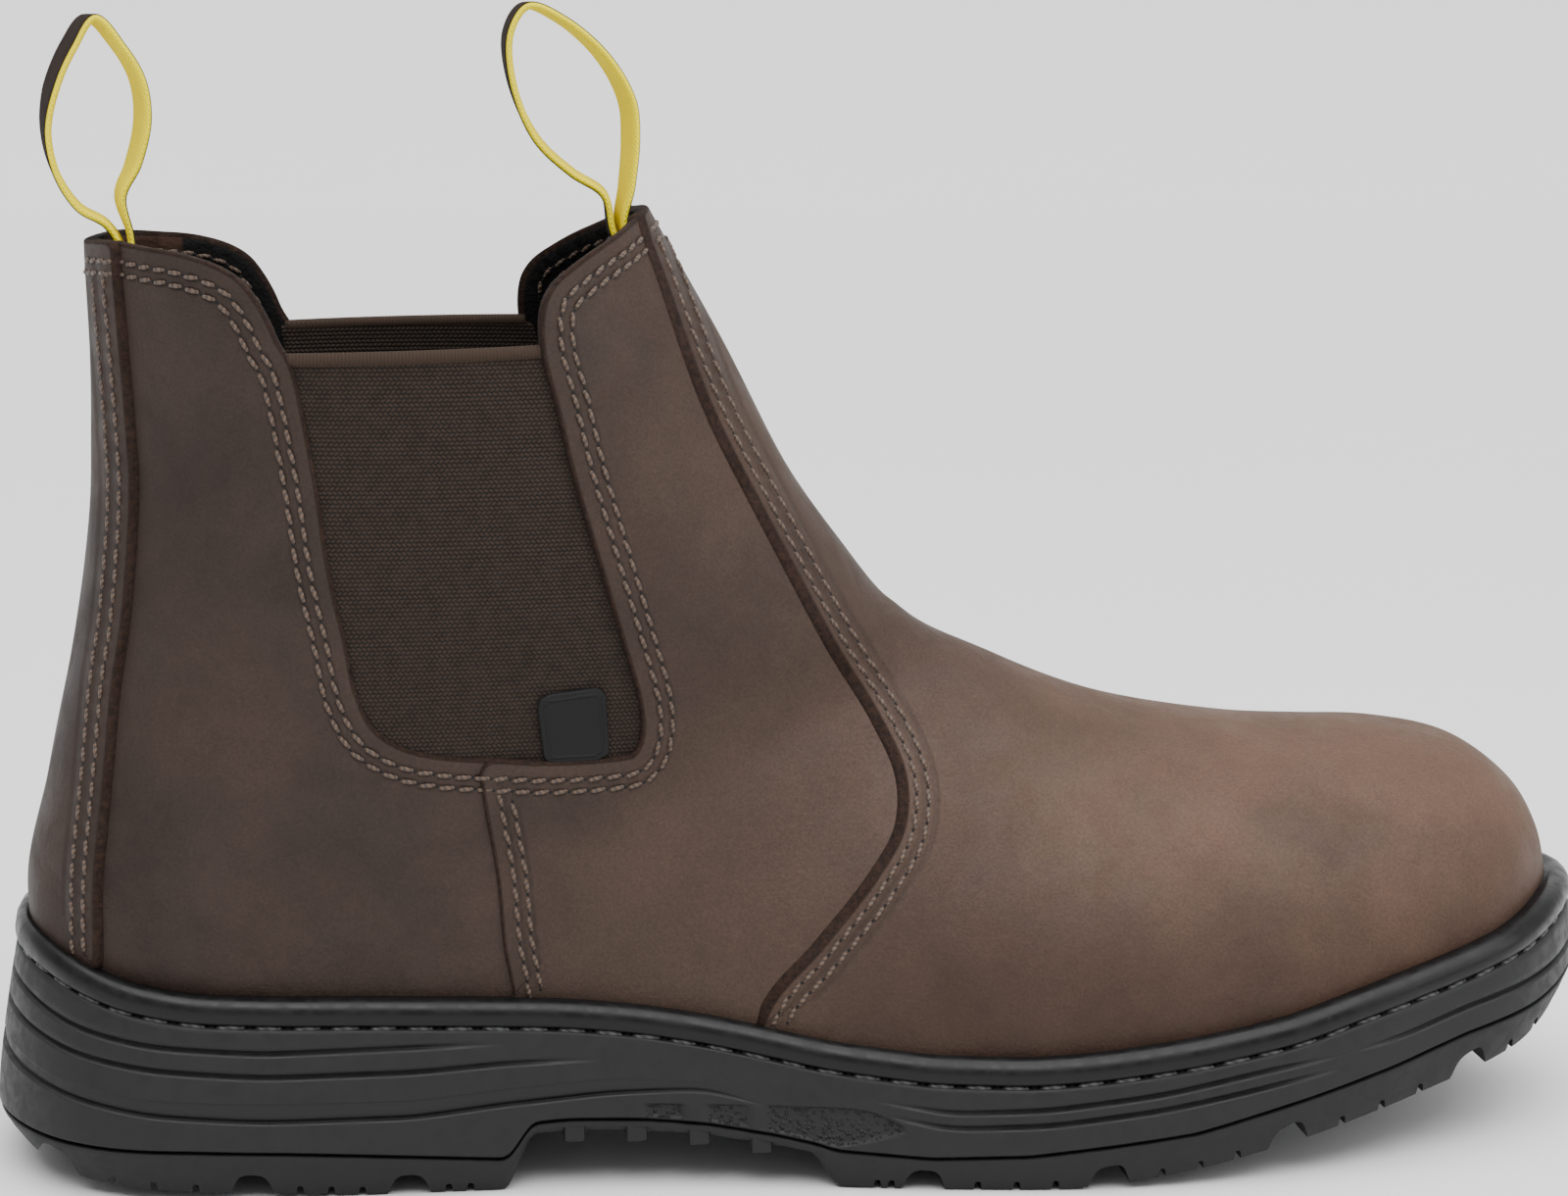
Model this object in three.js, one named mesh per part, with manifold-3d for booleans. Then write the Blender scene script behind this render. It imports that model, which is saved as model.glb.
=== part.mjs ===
// Side gore work boot for the right foot, standing empty on its sole.
// Millimetres. X runs from the heel to the toe, Y to the inner side of the foot, Z up.
// The last is a row of sections that fan from the collar round the heel to the toe. The upper,
// its laps, the elastic gores, the insole and every ring of the sole are worked out from it.
import * as THREE from "three";
import { mergeVertices } from "three/addons/utils/BufferGeometryUtils.js";
import Module from "manifold-3d";

const wasm = await Module();
wasm.setup();

// Driving dimensions of the last
const LAST_LENGTH = 295; // leather, heel back to toe tip
const BALL_BREADTH = 99.5; // leather, across the ball of the foot
const SHAFT_BREADTH = 77; // leather, across the two gores
const RIM_HEIGHT = 38; // top of the welt beside the heel
const SHAFT_RISE = 139; // front peak of the collar above that rim

// Leather, elastic and webbing
const WALL = 2; // quarter leather with its lining
const REAR_QUARTER_DROP = 1.5; // rear quarter below the face of the vamp
const FRONT_QUARTER_DROP = 0.8; // front quarter below the face of the vamp
const GORE_DROP = 2.2; // face of the elastic below the face of the vamp
const GORE_WALL = 1.6;
const LOOP_BREADTH = 12;
const LOOP_THICKNESS = 1.4;
const TAB_THICKNESS = 0.9;

// Sole
const WELT_WIDTH = 5; // bead beyond the leather at the ball
const WELT_HEIGHT = 4.8;
const SOLE_FLARE = 4.6; // how far the side runs out below the welt at the heel
const GROOVE_DEPTH = 1.1;
const GROOVE_WIDTH = 1.3;
const STITCH_GROOVE_DEPTH = 1.6;
const STITCH_GROOVE_WIDTH = 1.1;
const ARCH_PLATE = 2; // outsole under the arch
const LUG_TUCK = 3.4; // lugs in from the widest line of the sole
const LUG_DEPTH = 4.2;
const NOTCH_WIDTH = 7.5; // between two lugs
const TREAD_CHANNEL = 5; // lengthwise, between inner and outer lugs
const ARCH_BAR_WIDTH = 3.7;
const ARCH_BAR_DROP = 1.5;
const INSOLE_THICKNESS = 4;
const INSOLE_EASE = 2.8; // insole in from the wall at its feet
const PIECE_GAP = 0.3; // between two pieces that meet

// Fineness of the facets
const UPPER_RING_POINTS = 32;
const LINING_RING_POINTS = 24;
const SOLE_STATIONS = 38;
const LOOP_STEPS = 30;

const HEEL_X = -LAST_LENGTH / 2 - 0.5;
const alongLast = (share) => HEEL_X + share * LAST_LENGTH;
const aboveRim = (share) => RIM_HEIGHT + share * SHAFT_RISE;

// A table: one object for each row, by the names of its columns.
const rowsOf = (columns, rows) =>
  rows.map((row) => Object.fromEntries(columns.map((column, i) => [column, row[i]])));

// Sections of the shaft, from above the collar down to the ankle. The plane of a section runs
// from its front end to its back end, both as shares of the last's length and the shaft's rise.
// Ridge, outer and inner are across the boot, as shares of the shaft's breadth. Belly is where
// the section is widest, from the back end; round and back are the powers of its two curves.
const SECTION_COLUMNS = [
  "frontX", "frontZ", "backX", "backZ", "ridge",
  "outer", "inner", "belly", "round", "back",
];
const SHAFT_SECTIONS = rowsOf(SECTION_COLUMNS, [
  [0.376, 1.094, 0.049, 1.08, 0, -0.49, 0.49, 0.48, 2.05, 2.05],
  [0.404, 0.985, 0.0485, 0.95, 0, -0.495, 0.495, 0.48, 2.05, 2.05],
  [0.446, 0.825, 0.05, 0.805, 0, -0.5, 0.5, 0.47, 2.05, 2.05],
  [0.489, 0.649, 0.048, 0.68, 0.01, -0.5, 0.5, 0.44, 2.1, 2.1],
  [0.529, 0.528, 0.042, 0.535, 0.02, -0.5, 0.505, 0.4, 2.15, 2.15],
]);

// Sections of the foot, from the ankle round the heel to the toe, with the same columns. Their
// breadths are shares of the breadth across the ball, and the lower ends lie inside the sole.
const FOOT_SECTIONS = rowsOf(SECTION_COLUMNS, [
  [0.549, 0.475, 0.031, 0.41, 0.02, -0.383, 0.392, 0.36, 2.2, 2.2],
  [0.563, 0.451, 0.0155, 0.255, 0.025, -0.374, 0.388, 0.31, 2.25, 2.25],
  [0.576, 0.431, 0, 0.09, 0.03, -0.362, 0.386, 0.27, 2.3, 2.35],
  [0.591, 0.412, 0.022, -0.075, 0.035, -0.35, 0.38, 0.24, 2.35, 2.7],
  [0.606, 0.395, 0.145, -0.13, 0.035, -0.35, 0.365, 0.24, 2.35, 3.4],
  [0.622, 0.378, 0.285, -0.15, 0.04, -0.358, 0.318, 0.24, 2.3, 4.2],
  [0.645, 0.357, 0.42, -0.175, 0.045, -0.395, 0.3, 0.24, 2.15, 4.6],
  [0.681, 0.331, 0.555, -0.21, 0.05, -0.455, 0.37, 0.26, 2, 5],
  [0.736, 0.297, 0.67, -0.23, 0.055, -0.49, 0.455, 0.3, 2, 5],
  [0.79, 0.275, 0.765, -0.22, 0.06, -0.477, 0.493, 0.32, 2.05, 5],
  [0.843, 0.268, 0.827, -0.19, 0.065, -0.44, 0.483, 0.33, 2.15, 5],
  [0.894, 0.262, 0.858, -0.17, 0.07, -0.4, 0.463, 0.31, 2.2, 5],
  [0.942, 0.24, 0.872, -0.16, 0.074, -0.372, 0.447, 0.27, 2.15, 5],
  [0.977, 0.188, 0.88, -0.15, 0.077, -0.356, 0.437, 0.22, 2, 5],
  [0.9955, 0.13, 0.884, -0.145, 0.079, -0.352, 0.434, 0.16, 1.85, 5],
  [1.0045, 0.068, 0.887, -0.14, 0.08, -0.35, 0.432, 0.1, 1.72, 4],
  [1.0075, 0, 0.889, -0.135, 0.08, -0.348, 0.43, 0.08, 1.66, 4],
  [1.008, -0.07, 0.891, -0.13, 0.08, -0.346, 0.428, 0.08, 1.65, 4],
]);

// Heights along the last: x is the share of its length, the rest are shares of the rim's height.
// Rim is the top of the welt, parting the line between midsole and outsole, tread the underside.
const HEIGHT_COLUMNS = ["x", "rim", "parting", "tread"];
const SOLE_HEIGHTS = rowsOf(HEIGHT_COLUMNS, [
  [-0.02, 1.26, 0.3, 0.155],
  [0.01, 1.235, 0.288, 0.14],
  [0.035, 1.145, 0.268, 0.085],
  [0.065, 1.06, 0.26, 0.058],
  [0.105, 1.008, 0.256, 0.042],
  [0.16, 0.986, 0.235, 0.022],
  [0.21, 0.975, 0.21, 0],
  [0.297, 0.95, 0.165, 0],
  [0.312, 0.945, 0.34, 0.275],
  [0.335, 0.935, 0.352, 0.29],
  [0.38, 0.9, 0.345, 0.283],
  [0.42, 0.85, 0.32, 0.26],
  [0.46, 0.785, 0.27, 0.215],
  [0.488, 0.735, 0.225, 0.175],
  [0.503, 0.715, 0.19, 0],
  [0.56, 0.66, 0.158, 0],
  [0.62, 0.65, 0.172, 0],
  [0.66, 0.672, 0.21, 0.012],
  [0.72, 0.73, 0.27, 0.078],
  [0.78, 0.805, 0.385, 0.175],
  [0.84, 0.925, 0.5, 0.29],
  [0.9, 1.025, 0.62, 0.395],
  [0.95, 1.125, 0.69, 0.495],
  [1, 1.24, 0.76, 0.62],
  [1.03, 1.26, 0.785, 0.65],
]);

// Lines of the sole's side. High and low are grooves that run the heel and the forefoot, and
// band is the tapering step of the heel. Depths are shares of the groove's own depth.
const LINE_COLUMNS = ["x", "high", "low", "bandTop", "bandFoot", "highDepth", "lowDepth", "bandDepth"];
const SIDE_LINES = rowsOf(LINE_COLUMNS, [
  [-0.02, 1.05, 0.9, 0.76, 0.67, 1, 1, 1],
  [0.012, 0.93, 0.79, 0.642, 0.565, 1, 1, 1],
  [0.04, 0.83, 0.709, 0.567, 0.497, 1, 1, 1],
  [0.08, 0.768, 0.657, 0.524, 0.44, 1, 1, 1],
  [0.15, 0.727, 0.614, 0.496, 0.398, 1, 1, 1],
  [0.24, 0.735, 0.615, 0.487, 0.395, 0.8, 1, 1],
  [0.3, 0.744, 0.645, 0.53, 0.445, 0, 0.8, 1],
  [0.36, 0.72, 0.655, 0.565, 0.485, 0, 0, 0.9],
  [0.42, 0.66, 0.6, 0.545, 0.5, 0, 0, 0.5],
  [0.46, 0.57, 0.515, 0.46, 0.42, 0, 0, 0],
  [0.52, 0.46, 0.4, 0.34, 0.3, 0, 0, 0],
  [0.57, 0.39, 0.315, 0.262, 0.235, 0.7, 0.7, 0],
  [0.63, 0.405, 0.33, 0.28, 0.25, 1, 1, 0],
  [0.7, 0.475, 0.4, 0.355, 0.325, 1, 1, 0],
  [0.76, 0.56, 0.48, 0.44, 0.41, 1, 1, 0],
  [0.815, 0.62, 0.56, 0.53, 0.505, 0, 0, 0],
  [0.86, 0.68, 0.64, 0.61, 0.585, 0.8, 0, 0],
  [0.9, 0.76, 0.72, 0.69, 0.665, 1, 0, 0],
  [0.95, 0.83, 0.785, 0.755, 0.73, 1, 0, 0],
  [1, 0.885, 0.85, 0.82, 0.795, 1, 0, 0],
  [1.03, 0.905, 0.87, 0.84, 0.815, 1, 0, 0],
]);

// How far welt and flare stand out along the last and how far the lugs tuck in under them, as
// shares of their own widths.
const WIDTH_COLUMNS = ["x", "welt", "flare", "tuck"];
const EDGE_WIDTHS = rowsOf(WIDTH_COLUMNS, [
  [-0.02, 0.5, 1, 1],
  [0.03, 0.6, 0.9, 1],
  [0.12, 0.8, 0.52, 0.9],
  [0.3, 0.9, 0.33, 0.8],
  [0.45, 0.9, 0.26, 0.6],
  [0.62, 1, 0.26, 0.55],
  [0.85, 1.02, 0.26, 0.6],
  [1.03, 1.02, 0.28, 0.8],
]);

// Lines of the upper seen from the side: shares of the last's length and of the shaft's rise.
const COLLAR_LINE = [
  [-0.1, 0.957], [0.03, 0.957], [0.065, 0.965], [0.0901, 0.9595], [0.1115, 0.953], [0.132, 0.9395],
  [0.1445, 0.9235], [0.1525, 0.903], [0.1604, 0.874], [0.166, 0.846], [0.172, 0.825],
  [0.3238, 0.832], [0.3265, 0.873], [0.329, 0.896], [0.336, 0.918], [0.345, 0.9325],
  [0.36, 0.953], [0.374, 0.969], [0.386, 0.984], [0.397, 0.998], [0.47, 1.05],
];
const GORE_WINDOW = [
  [0.173, 0.86], [0.1857, 0.6816], [0.1937, 0.5534], [0.2022, 0.4646], [0.2088, 0.3901], [0.2197, 0.3437],
  [0.2384, 0.3169], [0.2666, 0.3024], [0.2954, 0.297], [0.3245, 0.2911], [0.3635, 0.2908], [0.3812, 0.2963],
  [0.3861, 0.3255], [0.3851, 0.3642], [0.3731, 0.4591], [0.3561, 0.5844], [0.3452, 0.6665], [0.3343, 0.767],
  [0.322, 0.86],
];
const VAMP_EDGE = [
  [0.39, 1.2], [0.394, 1.0], [0.4083, 0.9], [0.4317, 0.755], [0.4656, 0.609], [0.5092, 0.433],
  [0.5389, 0.327], [0.5524, 0.255], [0.549, 0.19], [0.5294, 0.1265], [0.4927, 0.037],
  [0.4596, -0.046], [0.44, -0.3],
];
const HEEL_STRIP_EDGE = [
  [0.067, 1.2], [0.0677, 0.965], [0.0738, 0.725], [0.0747, 0.65], [0.0678, 0.484], [0.0607, 0.395],
  [0.054, 0.269], [0.0473, 0.143], [0.0462, 0.065], [0.046, -0.3],
];
const SIDE_SEAM = [
  [0.285, 1.2], [0.285, 0.3], [0.2867, 0.257], [0.2952, 0.141], [0.2985, 0.05], [0.3034, -0.013],
  [0.308, -0.3],
];

const cubic = (a, b, c, d, t) =>
  b + 0.5 * t * (c - a + t * (2 * a - 5 * b + 4 * c - d + t * (3 * (b - c) + d - a)));

// One row between the rows of a table, by its place in the table.
function rowAt(rows, place) {
  const top = rows.length - 1;
  const i = Math.min(Math.max(Math.floor(place), 0), top - 1);
  const near = [i - 1, i, i + 1, i + 2].map((k) => rows[Math.min(Math.max(k, 0), top)]);
  const row = {};
  for (const key of Object.keys(rows[0])) row[key] = cubic(...near.map((r) => r[key]), place - i);
  return row;
}

// A column of a table that is ordered by x, read at one x with straight runs between rows.
function readAt(rows, column, x) {
  const share = (x - HEEL_X) / LAST_LENGTH;
  let i = rows.findIndex((r) => r.x > share);
  if (i === -1) i = rows.length - 1;
  i = Math.max(i, 1);
  const [a, b] = [rows[i - 1], rows[i]];
  const t = Math.min(Math.max((share - a.x) / (b.x - a.x), 0), 1);
  return a[column] + (b[column] - a[column]) * t;
}

const rimZ = (x) => RIM_HEIGHT * readAt(SOLE_HEIGHTS, "rim", x);
const footbedZ = (x) => rimZ(x) - WELT_HEIGHT - STITCH_GROOVE_WIDTH / 2;
const partingZ = (x) => RIM_HEIGHT * readAt(SOLE_HEIGHTS, "parting", x);
const treadZ = (x) => RIM_HEIGHT * readAt(SOLE_HEIGHTS, "tread", x);
const weltWidth = (x) => WELT_WIDTH * readAt(EDGE_WIDTHS, "welt", x);
const flareWidth = (x) => SOLE_FLARE * readAt(EDGE_WIDTHS, "flare", x);
const lugTuck = (x) => LUG_TUCK * readAt(EDGE_WIDTHS, "tuck", x);

// Sections of the last in millimetres, shaft rows first.
const sizedRow = (breadth) => (r) => ({
  frontX: alongLast(r.frontX),
  frontZ: aboveRim(r.frontZ),
  backX: alongLast(r.backX),
  backZ: aboveRim(r.backZ),
  ridge: r.ridge * breadth,
  outer: r.outer * breadth,
  inner: r.inner * breadth,
  belly: r.belly,
  round: r.round,
  back: r.back,
});
const SECTIONS = [
  ...SHAFT_SECTIONS.map(sizedRow(SHAFT_BREADTH)),
  ...FOOT_SECTIONS.map(sizedRow(BALL_BREADTH)),
];
const LAST_PLACE = SECTIONS.length - 1;

// A point of the last: place runs down the sections, turn runs once round from the front end.
function lastPoint(place, turn) {
  const s = rowAt(SECTIONS, place);
  const c = Math.cos(turn);
  const power = 2 / (c >= 0 ? s.round : s.back);
  const rise = Math.sign(c) * Math.abs(c) ** power;
  const spread = Math.abs(Math.sin(turn)) ** power;
  const along = s.belly + rise * (c >= 0 ? 1 - s.belly : s.belly);
  const side = turn <= Math.PI ? s.outer : s.inner;
  return new THREE.Vector3(
    s.backX + (s.frontX - s.backX) * along,
    s.ridge + (side - s.ridge) * spread,
    s.backZ + (s.frontZ - s.backZ) * along,
  );
}

// The same point moved along the outward normal of the last.
function facePoint(place, turn, offset) {
  const step = 1e-3;
  const below = lastPoint(Math.min(place + step, LAST_PLACE), turn);
  const down = below.sub(lastPoint(Math.max(place - step, 0), turn));
  const round = lastPoint(place, (turn + step) % (2 * Math.PI)).sub(
    lastPoint(place, (turn - step + 2 * Math.PI) % (2 * Math.PI)),
  );
  return lastPoint(place, turn).addScaledVector(round.cross(down).normalize(), offset);
}

// Where the last's side lies at a place of the side view: outer and inner Y.
function sidesAt(x, z) {
  let [low, high] = [0, LAST_PLACE];
  const ahead = (place) => {
    const s = rowAt(SECTIONS, place);
    return (s.frontX - s.backX) * (z - s.backZ) - (s.frontZ - s.backZ) * (x - s.backX);
  };
  for (let i = 0; i < 40; i++) {
    const middle = (low + high) / 2;
    if (ahead(middle) < 0) low = middle;
    else high = middle;
  }
  const s = rowAt(SECTIONS, low);
  const [dx, dz] = [s.frontX - s.backX, s.frontZ - s.backZ];
  const along = ((x - s.backX) * dx + (z - s.backZ) * dz) / (dx * dx + dz * dz);
  const rise = along >= s.belly ? (along - s.belly) / (1 - s.belly) : (s.belly - along) / s.belly;
  const power = along >= s.belly ? s.round : s.back;
  const spread = rise >= 1 ? 0 : (1 - rise ** power) ** (1 / power);
  const at = (side) => s.ridge + (side - s.ridge) * spread;
  return { outer: at(s.outer), inner: at(s.inner), spread };
}

// A closed body from rings of points with the same count, each ring closed, with end caps.
function bodyFromRings(rings, cap) {
  const count = rings[0].length;
  const points = rings.flat();
  const faces = [];
  for (let r = 0; r + 1 < rings.length; r++)
    for (let i = 0; i < count; i++) {
      const [a, b] = [r * count + i, r * count + ((i + 1) % count)];
      faces.push(a, b, b + count, a, b + count, a + count);
    }
  const first = cap(count, 0);
  const last = cap(count, (rings.length - 1) * count);
  for (let i = 0; i < first.length; i += 3) faces.push(first[i], first[i + 2], first[i + 1]);
  faces.push(...last);
  return solidOf(points, faces);
}

// Caps: a ladder joins the two sides of a sole ring, whose points mirror each other in count.
function ladderCap(count, start) {
  const faces = [];
  for (let i = 0; i < count / 2; i++) {
    const [a, b] = [start + i, start + i + 1];
    const [c, d] = [start + ((count - i) % count), start + (count - i - 1)];
    if (i > 0) faces.push(a, b, c);
    if (i < count / 2 - 1) faces.push(b, d, c);
  }
  return faces;
}

function solidOf(points, faces) {
  const geometry = new THREE.BufferGeometry().setFromPoints(points);
  geometry.setIndex(faces);
  let solid = toSolid(geometry);
  if (solid.volume() < 0) {
    for (let i = 0; i < faces.length; i += 3) [faces[i + 1], faces[i + 2]] = [faces[i + 2], faces[i + 1]];
    geometry.setIndex(faces);
    solid = toSolid(geometry);
  }
  return solid;
}

function toSolid(geometry) {
  const bare = geometry.clone();
  bare.deleteAttribute("normal");
  bare.deleteAttribute("uv");
  const merged = mergeVertices(bare, 1e-4);
  const mesh = new wasm.Mesh({
    numProp: 3,
    vertProperties: new Float32Array(merged.attributes.position.array),
    triVerts: new Uint32Array(merged.index.array),
  });
  return new wasm.Manifold(mesh);
}

function toGeometry(solid) {
  const mesh = solid.getMesh();
  const positions = new Float32Array(mesh.numVert * 3);
  for (let i = 0; i < mesh.numVert; i++)
    positions.set(mesh.vertProperties.subarray(i * mesh.numProp, i * mesh.numProp + 3), i * 3);
  return new THREE.BufferGeometry()
    .setAttribute("position", new THREE.BufferAttribute(positions, 3))
    .setIndex(new THREE.BufferAttribute(mesh.triVerts, 1));
}

// The whole boot form at some distance from the last's face.
function bootForm(offset, rings, ringPoints) {
  const made = [];
  for (let r = 0; r <= rings; r++) {
    const ring = [];
    for (let i = 0; i < ringPoints; i++)
      ring.push(facePoint((LAST_PLACE * r) / rings, (2 * Math.PI * i) / ringPoints, offset));
    made.push(ring);
  }
  return bodyFromRings(made, ladderCap);
}

// A side-view outline carried right through the boot.
const THROUGH = 4 * BALL_BREADTH;
function sidePrism(points) {
  const shape = new THREE.Shape(points.map(([x, z]) => new THREE.Vector2(x, z)));
  const geometry = new THREE.ExtrudeGeometry(shape, { depth: THROUGH, bevelEnabled: false });
  geometry.rotateX(Math.PI / 2).translate(0, THROUGH / 2, 0);
  return toSolid(geometry);
}

// A smooth run through the hand-placed points of a line, in millimetres of the side view.
function sideLine(line, steps) {
  const curve = new THREE.CatmullRomCurve3(
    line.map(([x, z]) => new THREE.Vector3(alongLast(x), 0, aboveRim(z))),
    false,
    "centripetal",
  );
  return curve.getPoints(steps).map((p) => [p.x, p.z]);
}

const FAR = 2 * LAST_LENGTH;
const ahead = (line, steps) => [...sideLine(line, steps), [FAR, -FAR], [FAR, FAR]];
const behind = (line, steps) => [...sideLine(line, steps), [-FAR, -FAR], [-FAR, FAR]];
const above = (points) => [
  ...points,
  [FAR, points.at(-1)[1]],
  [FAR, FAR],
  [-FAR, FAR],
  [-FAR, points[0][1]],
];

// Stations of the sole from heel to toe: close at both round ends and at each step of the arch.
function heelAndToe() {
  const find = (start, step) => {
    let x = start;
    while (sidesAt(x + step, rimZ(x + step)).spread > 0) x += step;
    return x;
  };
  const fine = LAST_LENGTH / 4000;
  return [find(alongLast(0.3), -fine), find(alongLast(0.7), fine)];
}
const [FEATHER_HEEL, FEATHER_TOE] = heelAndToe();
function soleStations() {
  const stations = [];
  for (let i = 0; i <= SOLE_STATIONS; i++) {
    const share = (1 - Math.cos((Math.PI * i) / SOLE_STATIONS)) / 2;
    stations.push(FEATHER_HEEL + (FEATHER_TOE - FEATHER_HEEL) * (0.6 * share + (0.4 * i) / SOLE_STATIONS));
  }
  const steps = SOLE_HEIGHTS.filter((r) => r.x > 0.29 && r.x < 0.51).map((r) => alongLast(r.x));
  const spaced = stations.filter((x) => steps.every((s) => Math.abs(s - x) > 2));
  return [...spaced, ...steps].sort((a, b) => a - b);
}

// The feather line: where the leather meets the top of the welt, and its outward directions.
function featherLine() {
  const stations = soleStations();
  const middle = stations.slice(1, -1);
  const tip = (x) => {
    const near = sidesAt(x + (x < 0 ? 0.05 : -0.05), rimZ(x));
    return [x, (near.outer + near.inner) / 2];
  };
  const ring = [
    tip(stations[0]),
    ...middle.map((x) => [x, sidesAt(x, rimZ(x)).outer]),
    tip(stations.at(-1)),
    ...middle.toReversed().map((x) => [x, sidesAt(x, rimZ(x)).inner]),
  ];
  return ring.map(([x, y], i) => {
    const [before, after] = [ring.at(i - 1), ring[(i + 1) % ring.length]];
    const [dx, dy] = [after[0] - before[0], after[1] - before[1]];
    const length = Math.hypot(dx, dy);
    return { x, y, outX: dy / length, outY: -dx / length };
  });
}
const FEATHER = featherLine();

// A ring of the sole: every feather point moved outwards, at a height that follows x.
function soleRing(offset, height) {
  return FEATHER.map((p) => {
    const out = typeof offset === "function" ? offset(p.x) : offset;
    return new THREE.Vector3(p.x + p.outX * out, p.y + p.outY * out, height(p.x));
  });
}
const soleBody = (rings) => bodyFromRings(rings, ladderCap);

// Midsole: a stack of rings from the parting line up to the footbed, with the lines of its side.
function midsole() {
  const sideOut = (x, z) => {
    const foot = partingZ(x);
    const rise = Math.min(Math.max((z - foot) / (footbedZ(x) - foot), 0), 1);
    return weltWidth(x) - 0.3 + flareWidth(x) * (1 - rise ** 1.4);
  };
  const line = (column) => (x) => RIM_HEIGHT * readAt(SIDE_LINES, column, x);
  const depth = (column) => (x) => GROOVE_DEPTH * readAt(SIDE_LINES, column, x);
  const level = (height, inset) => soleRing((x) => sideOut(x, height(x)) - inset(x), height);
  const none = () => 0;
  const groove = (at, cut) => [
    level((x) => at(x) - GROOVE_WIDTH / 2, none),
    level((x) => at(x) - GROOVE_WIDTH / 4, cut),
    level((x) => at(x) + GROOVE_WIDTH / 2, (x) => cut(x) * 0.4),
  ];
  const bandCut = depth("bandDepth");
  const foot = (x) => partingZ(x) + PIECE_GAP;
  const shelf = (x) => footbedZ(x);
  const rings = [
    soleRing((x) => sideOut(x, foot(x)) - lugTuck(x) * 0.15, foot),
    level((x) => foot(x) + 0.8, none),
    level((x) => line("bandFoot")(x) - GROOVE_WIDTH / 2, none),
    level(line("bandFoot"), bandCut),
    level(line("bandTop"), (x) => bandCut(x) * 0.5),
    level((x) => line("bandTop")(x) + GROOVE_WIDTH / 3, none),
    ...groove(line("low"), depth("lowDepth")),
    ...groove(line("high"), depth("highDepth")),
    level((x) => shelf(x) - STITCH_GROOVE_WIDTH / 2, none),
    soleRing((x) => sideOut(x, shelf(x)) - STITCH_GROOVE_DEPTH, shelf),
  ];
  return soleBody(rings);
}

// Outsole: heel pad, thin arch and forefoot pad in one body, cut into lugs from below.
const HEEL_NOTCHES = [0.0195, 0.14, 0.236]; // centres of the gaps between lugs, along the last
const FOREFOOT_NOTCHES = [0.553, 0.667, 0.782, 0.911];
const ARCH_BARS = [0.338, 0.3765, 0.415, 0.4535];
const HEEL_PAD = [0.02, 0.3];
const FOREFOOT_PAD = [0.5, 0.965];

function outsole() {
  const sideOut = (x) => weltWidth(x) - 0.3 + flareWidth(x);
  const top = partingZ;
  const middle = (x) => treadZ(x) + (partingZ(x) - treadZ(x)) * 0.5;
  let body = soleBody([
    soleRing((x) => sideOut(x) - lugTuck(x), treadZ),
    soleRing((x) => sideOut(x) - lugTuck(x) * 0.5, middle),
    soleRing((x) => sideOut(x) - lugTuck(x) * 0.15, top),
  ]);
  const deck = (x) => treadZ(x) + LUG_DEPTH;
  for (const share of [...HEEL_NOTCHES, ...FOREFOOT_NOTCHES]) {
    const x = alongLast(share);
    const [back, front] = [x - NOTCH_WIDTH / 2, x + NOTCH_WIDTH / 2];
    const slope = LUG_DEPTH / 3;
    body = body.subtract(
      sidePrism([
        [back - slope, treadZ(back) - LUG_DEPTH],
        [back, treadZ(back)],
        [back + slope, deck(back)],
        [front - slope, deck(front)],
        [front, treadZ(front)],
        [front + slope, treadZ(front) - LUG_DEPTH],
      ]),
    );
  }
  body = body.subtract(channel(HEEL_PAD, deck)).subtract(channel(FOREFOOT_PAD, deck));
  const tucked = (x) => sideOut(x) - lugTuck(x);
  const column = soleBody([soleRing(tucked, () => 0), soleRing(tucked, top)]);
  for (const share of ARCH_BARS) {
    const x = alongLast(share);
    const [back, front] = [x - ARCH_BAR_WIDTH / 2, x + ARCH_BAR_WIDTH / 2];
    const bar = sidePrism([
      [back, treadZ(back) - ARCH_BAR_DROP],
      [front, treadZ(front) - ARCH_BAR_DROP],
      [front, treadZ(front) + ARCH_PLATE / 2],
      [back, treadZ(back) + ARCH_PLATE / 2],
    ]);
    body = body.add(bar.intersect(column));
  }
  return body;
}

// The lengthwise channel of a tread pad: it swings from side to side about the foot's middle.
function channel([from, to], deck) {
  const steps = 12;
  const rings = [];
  for (let i = 0; i <= steps; i++) {
    const x = alongLast(from + ((to - from) * i) / steps);
    const sides = sidesAt(Math.min(Math.max(x, FEATHER_HEEL + 1), FEATHER_TOE - 1), rimZ(x));
    const swing = i % 2 ? TREAD_CHANNEL : -TREAD_CHANNEL;
    const y = (sides.outer + sides.inner) / 2 + swing;
    const half = TREAD_CHANNEL / 2;
    rings.push([
      new THREE.Vector3(x, y - half, treadZ(x) - LUG_DEPTH),
      new THREE.Vector3(x, y + half, treadZ(x) - LUG_DEPTH),
      new THREE.Vector3(x, y + half, deck(x)),
      new THREE.Vector3(x, y - half, deck(x)),
    ]);
  }
  return bodyFromRings(rings, (count, start) => [start, start + 1, start + 2, start, start + 2, start + 3]);
}

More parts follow.
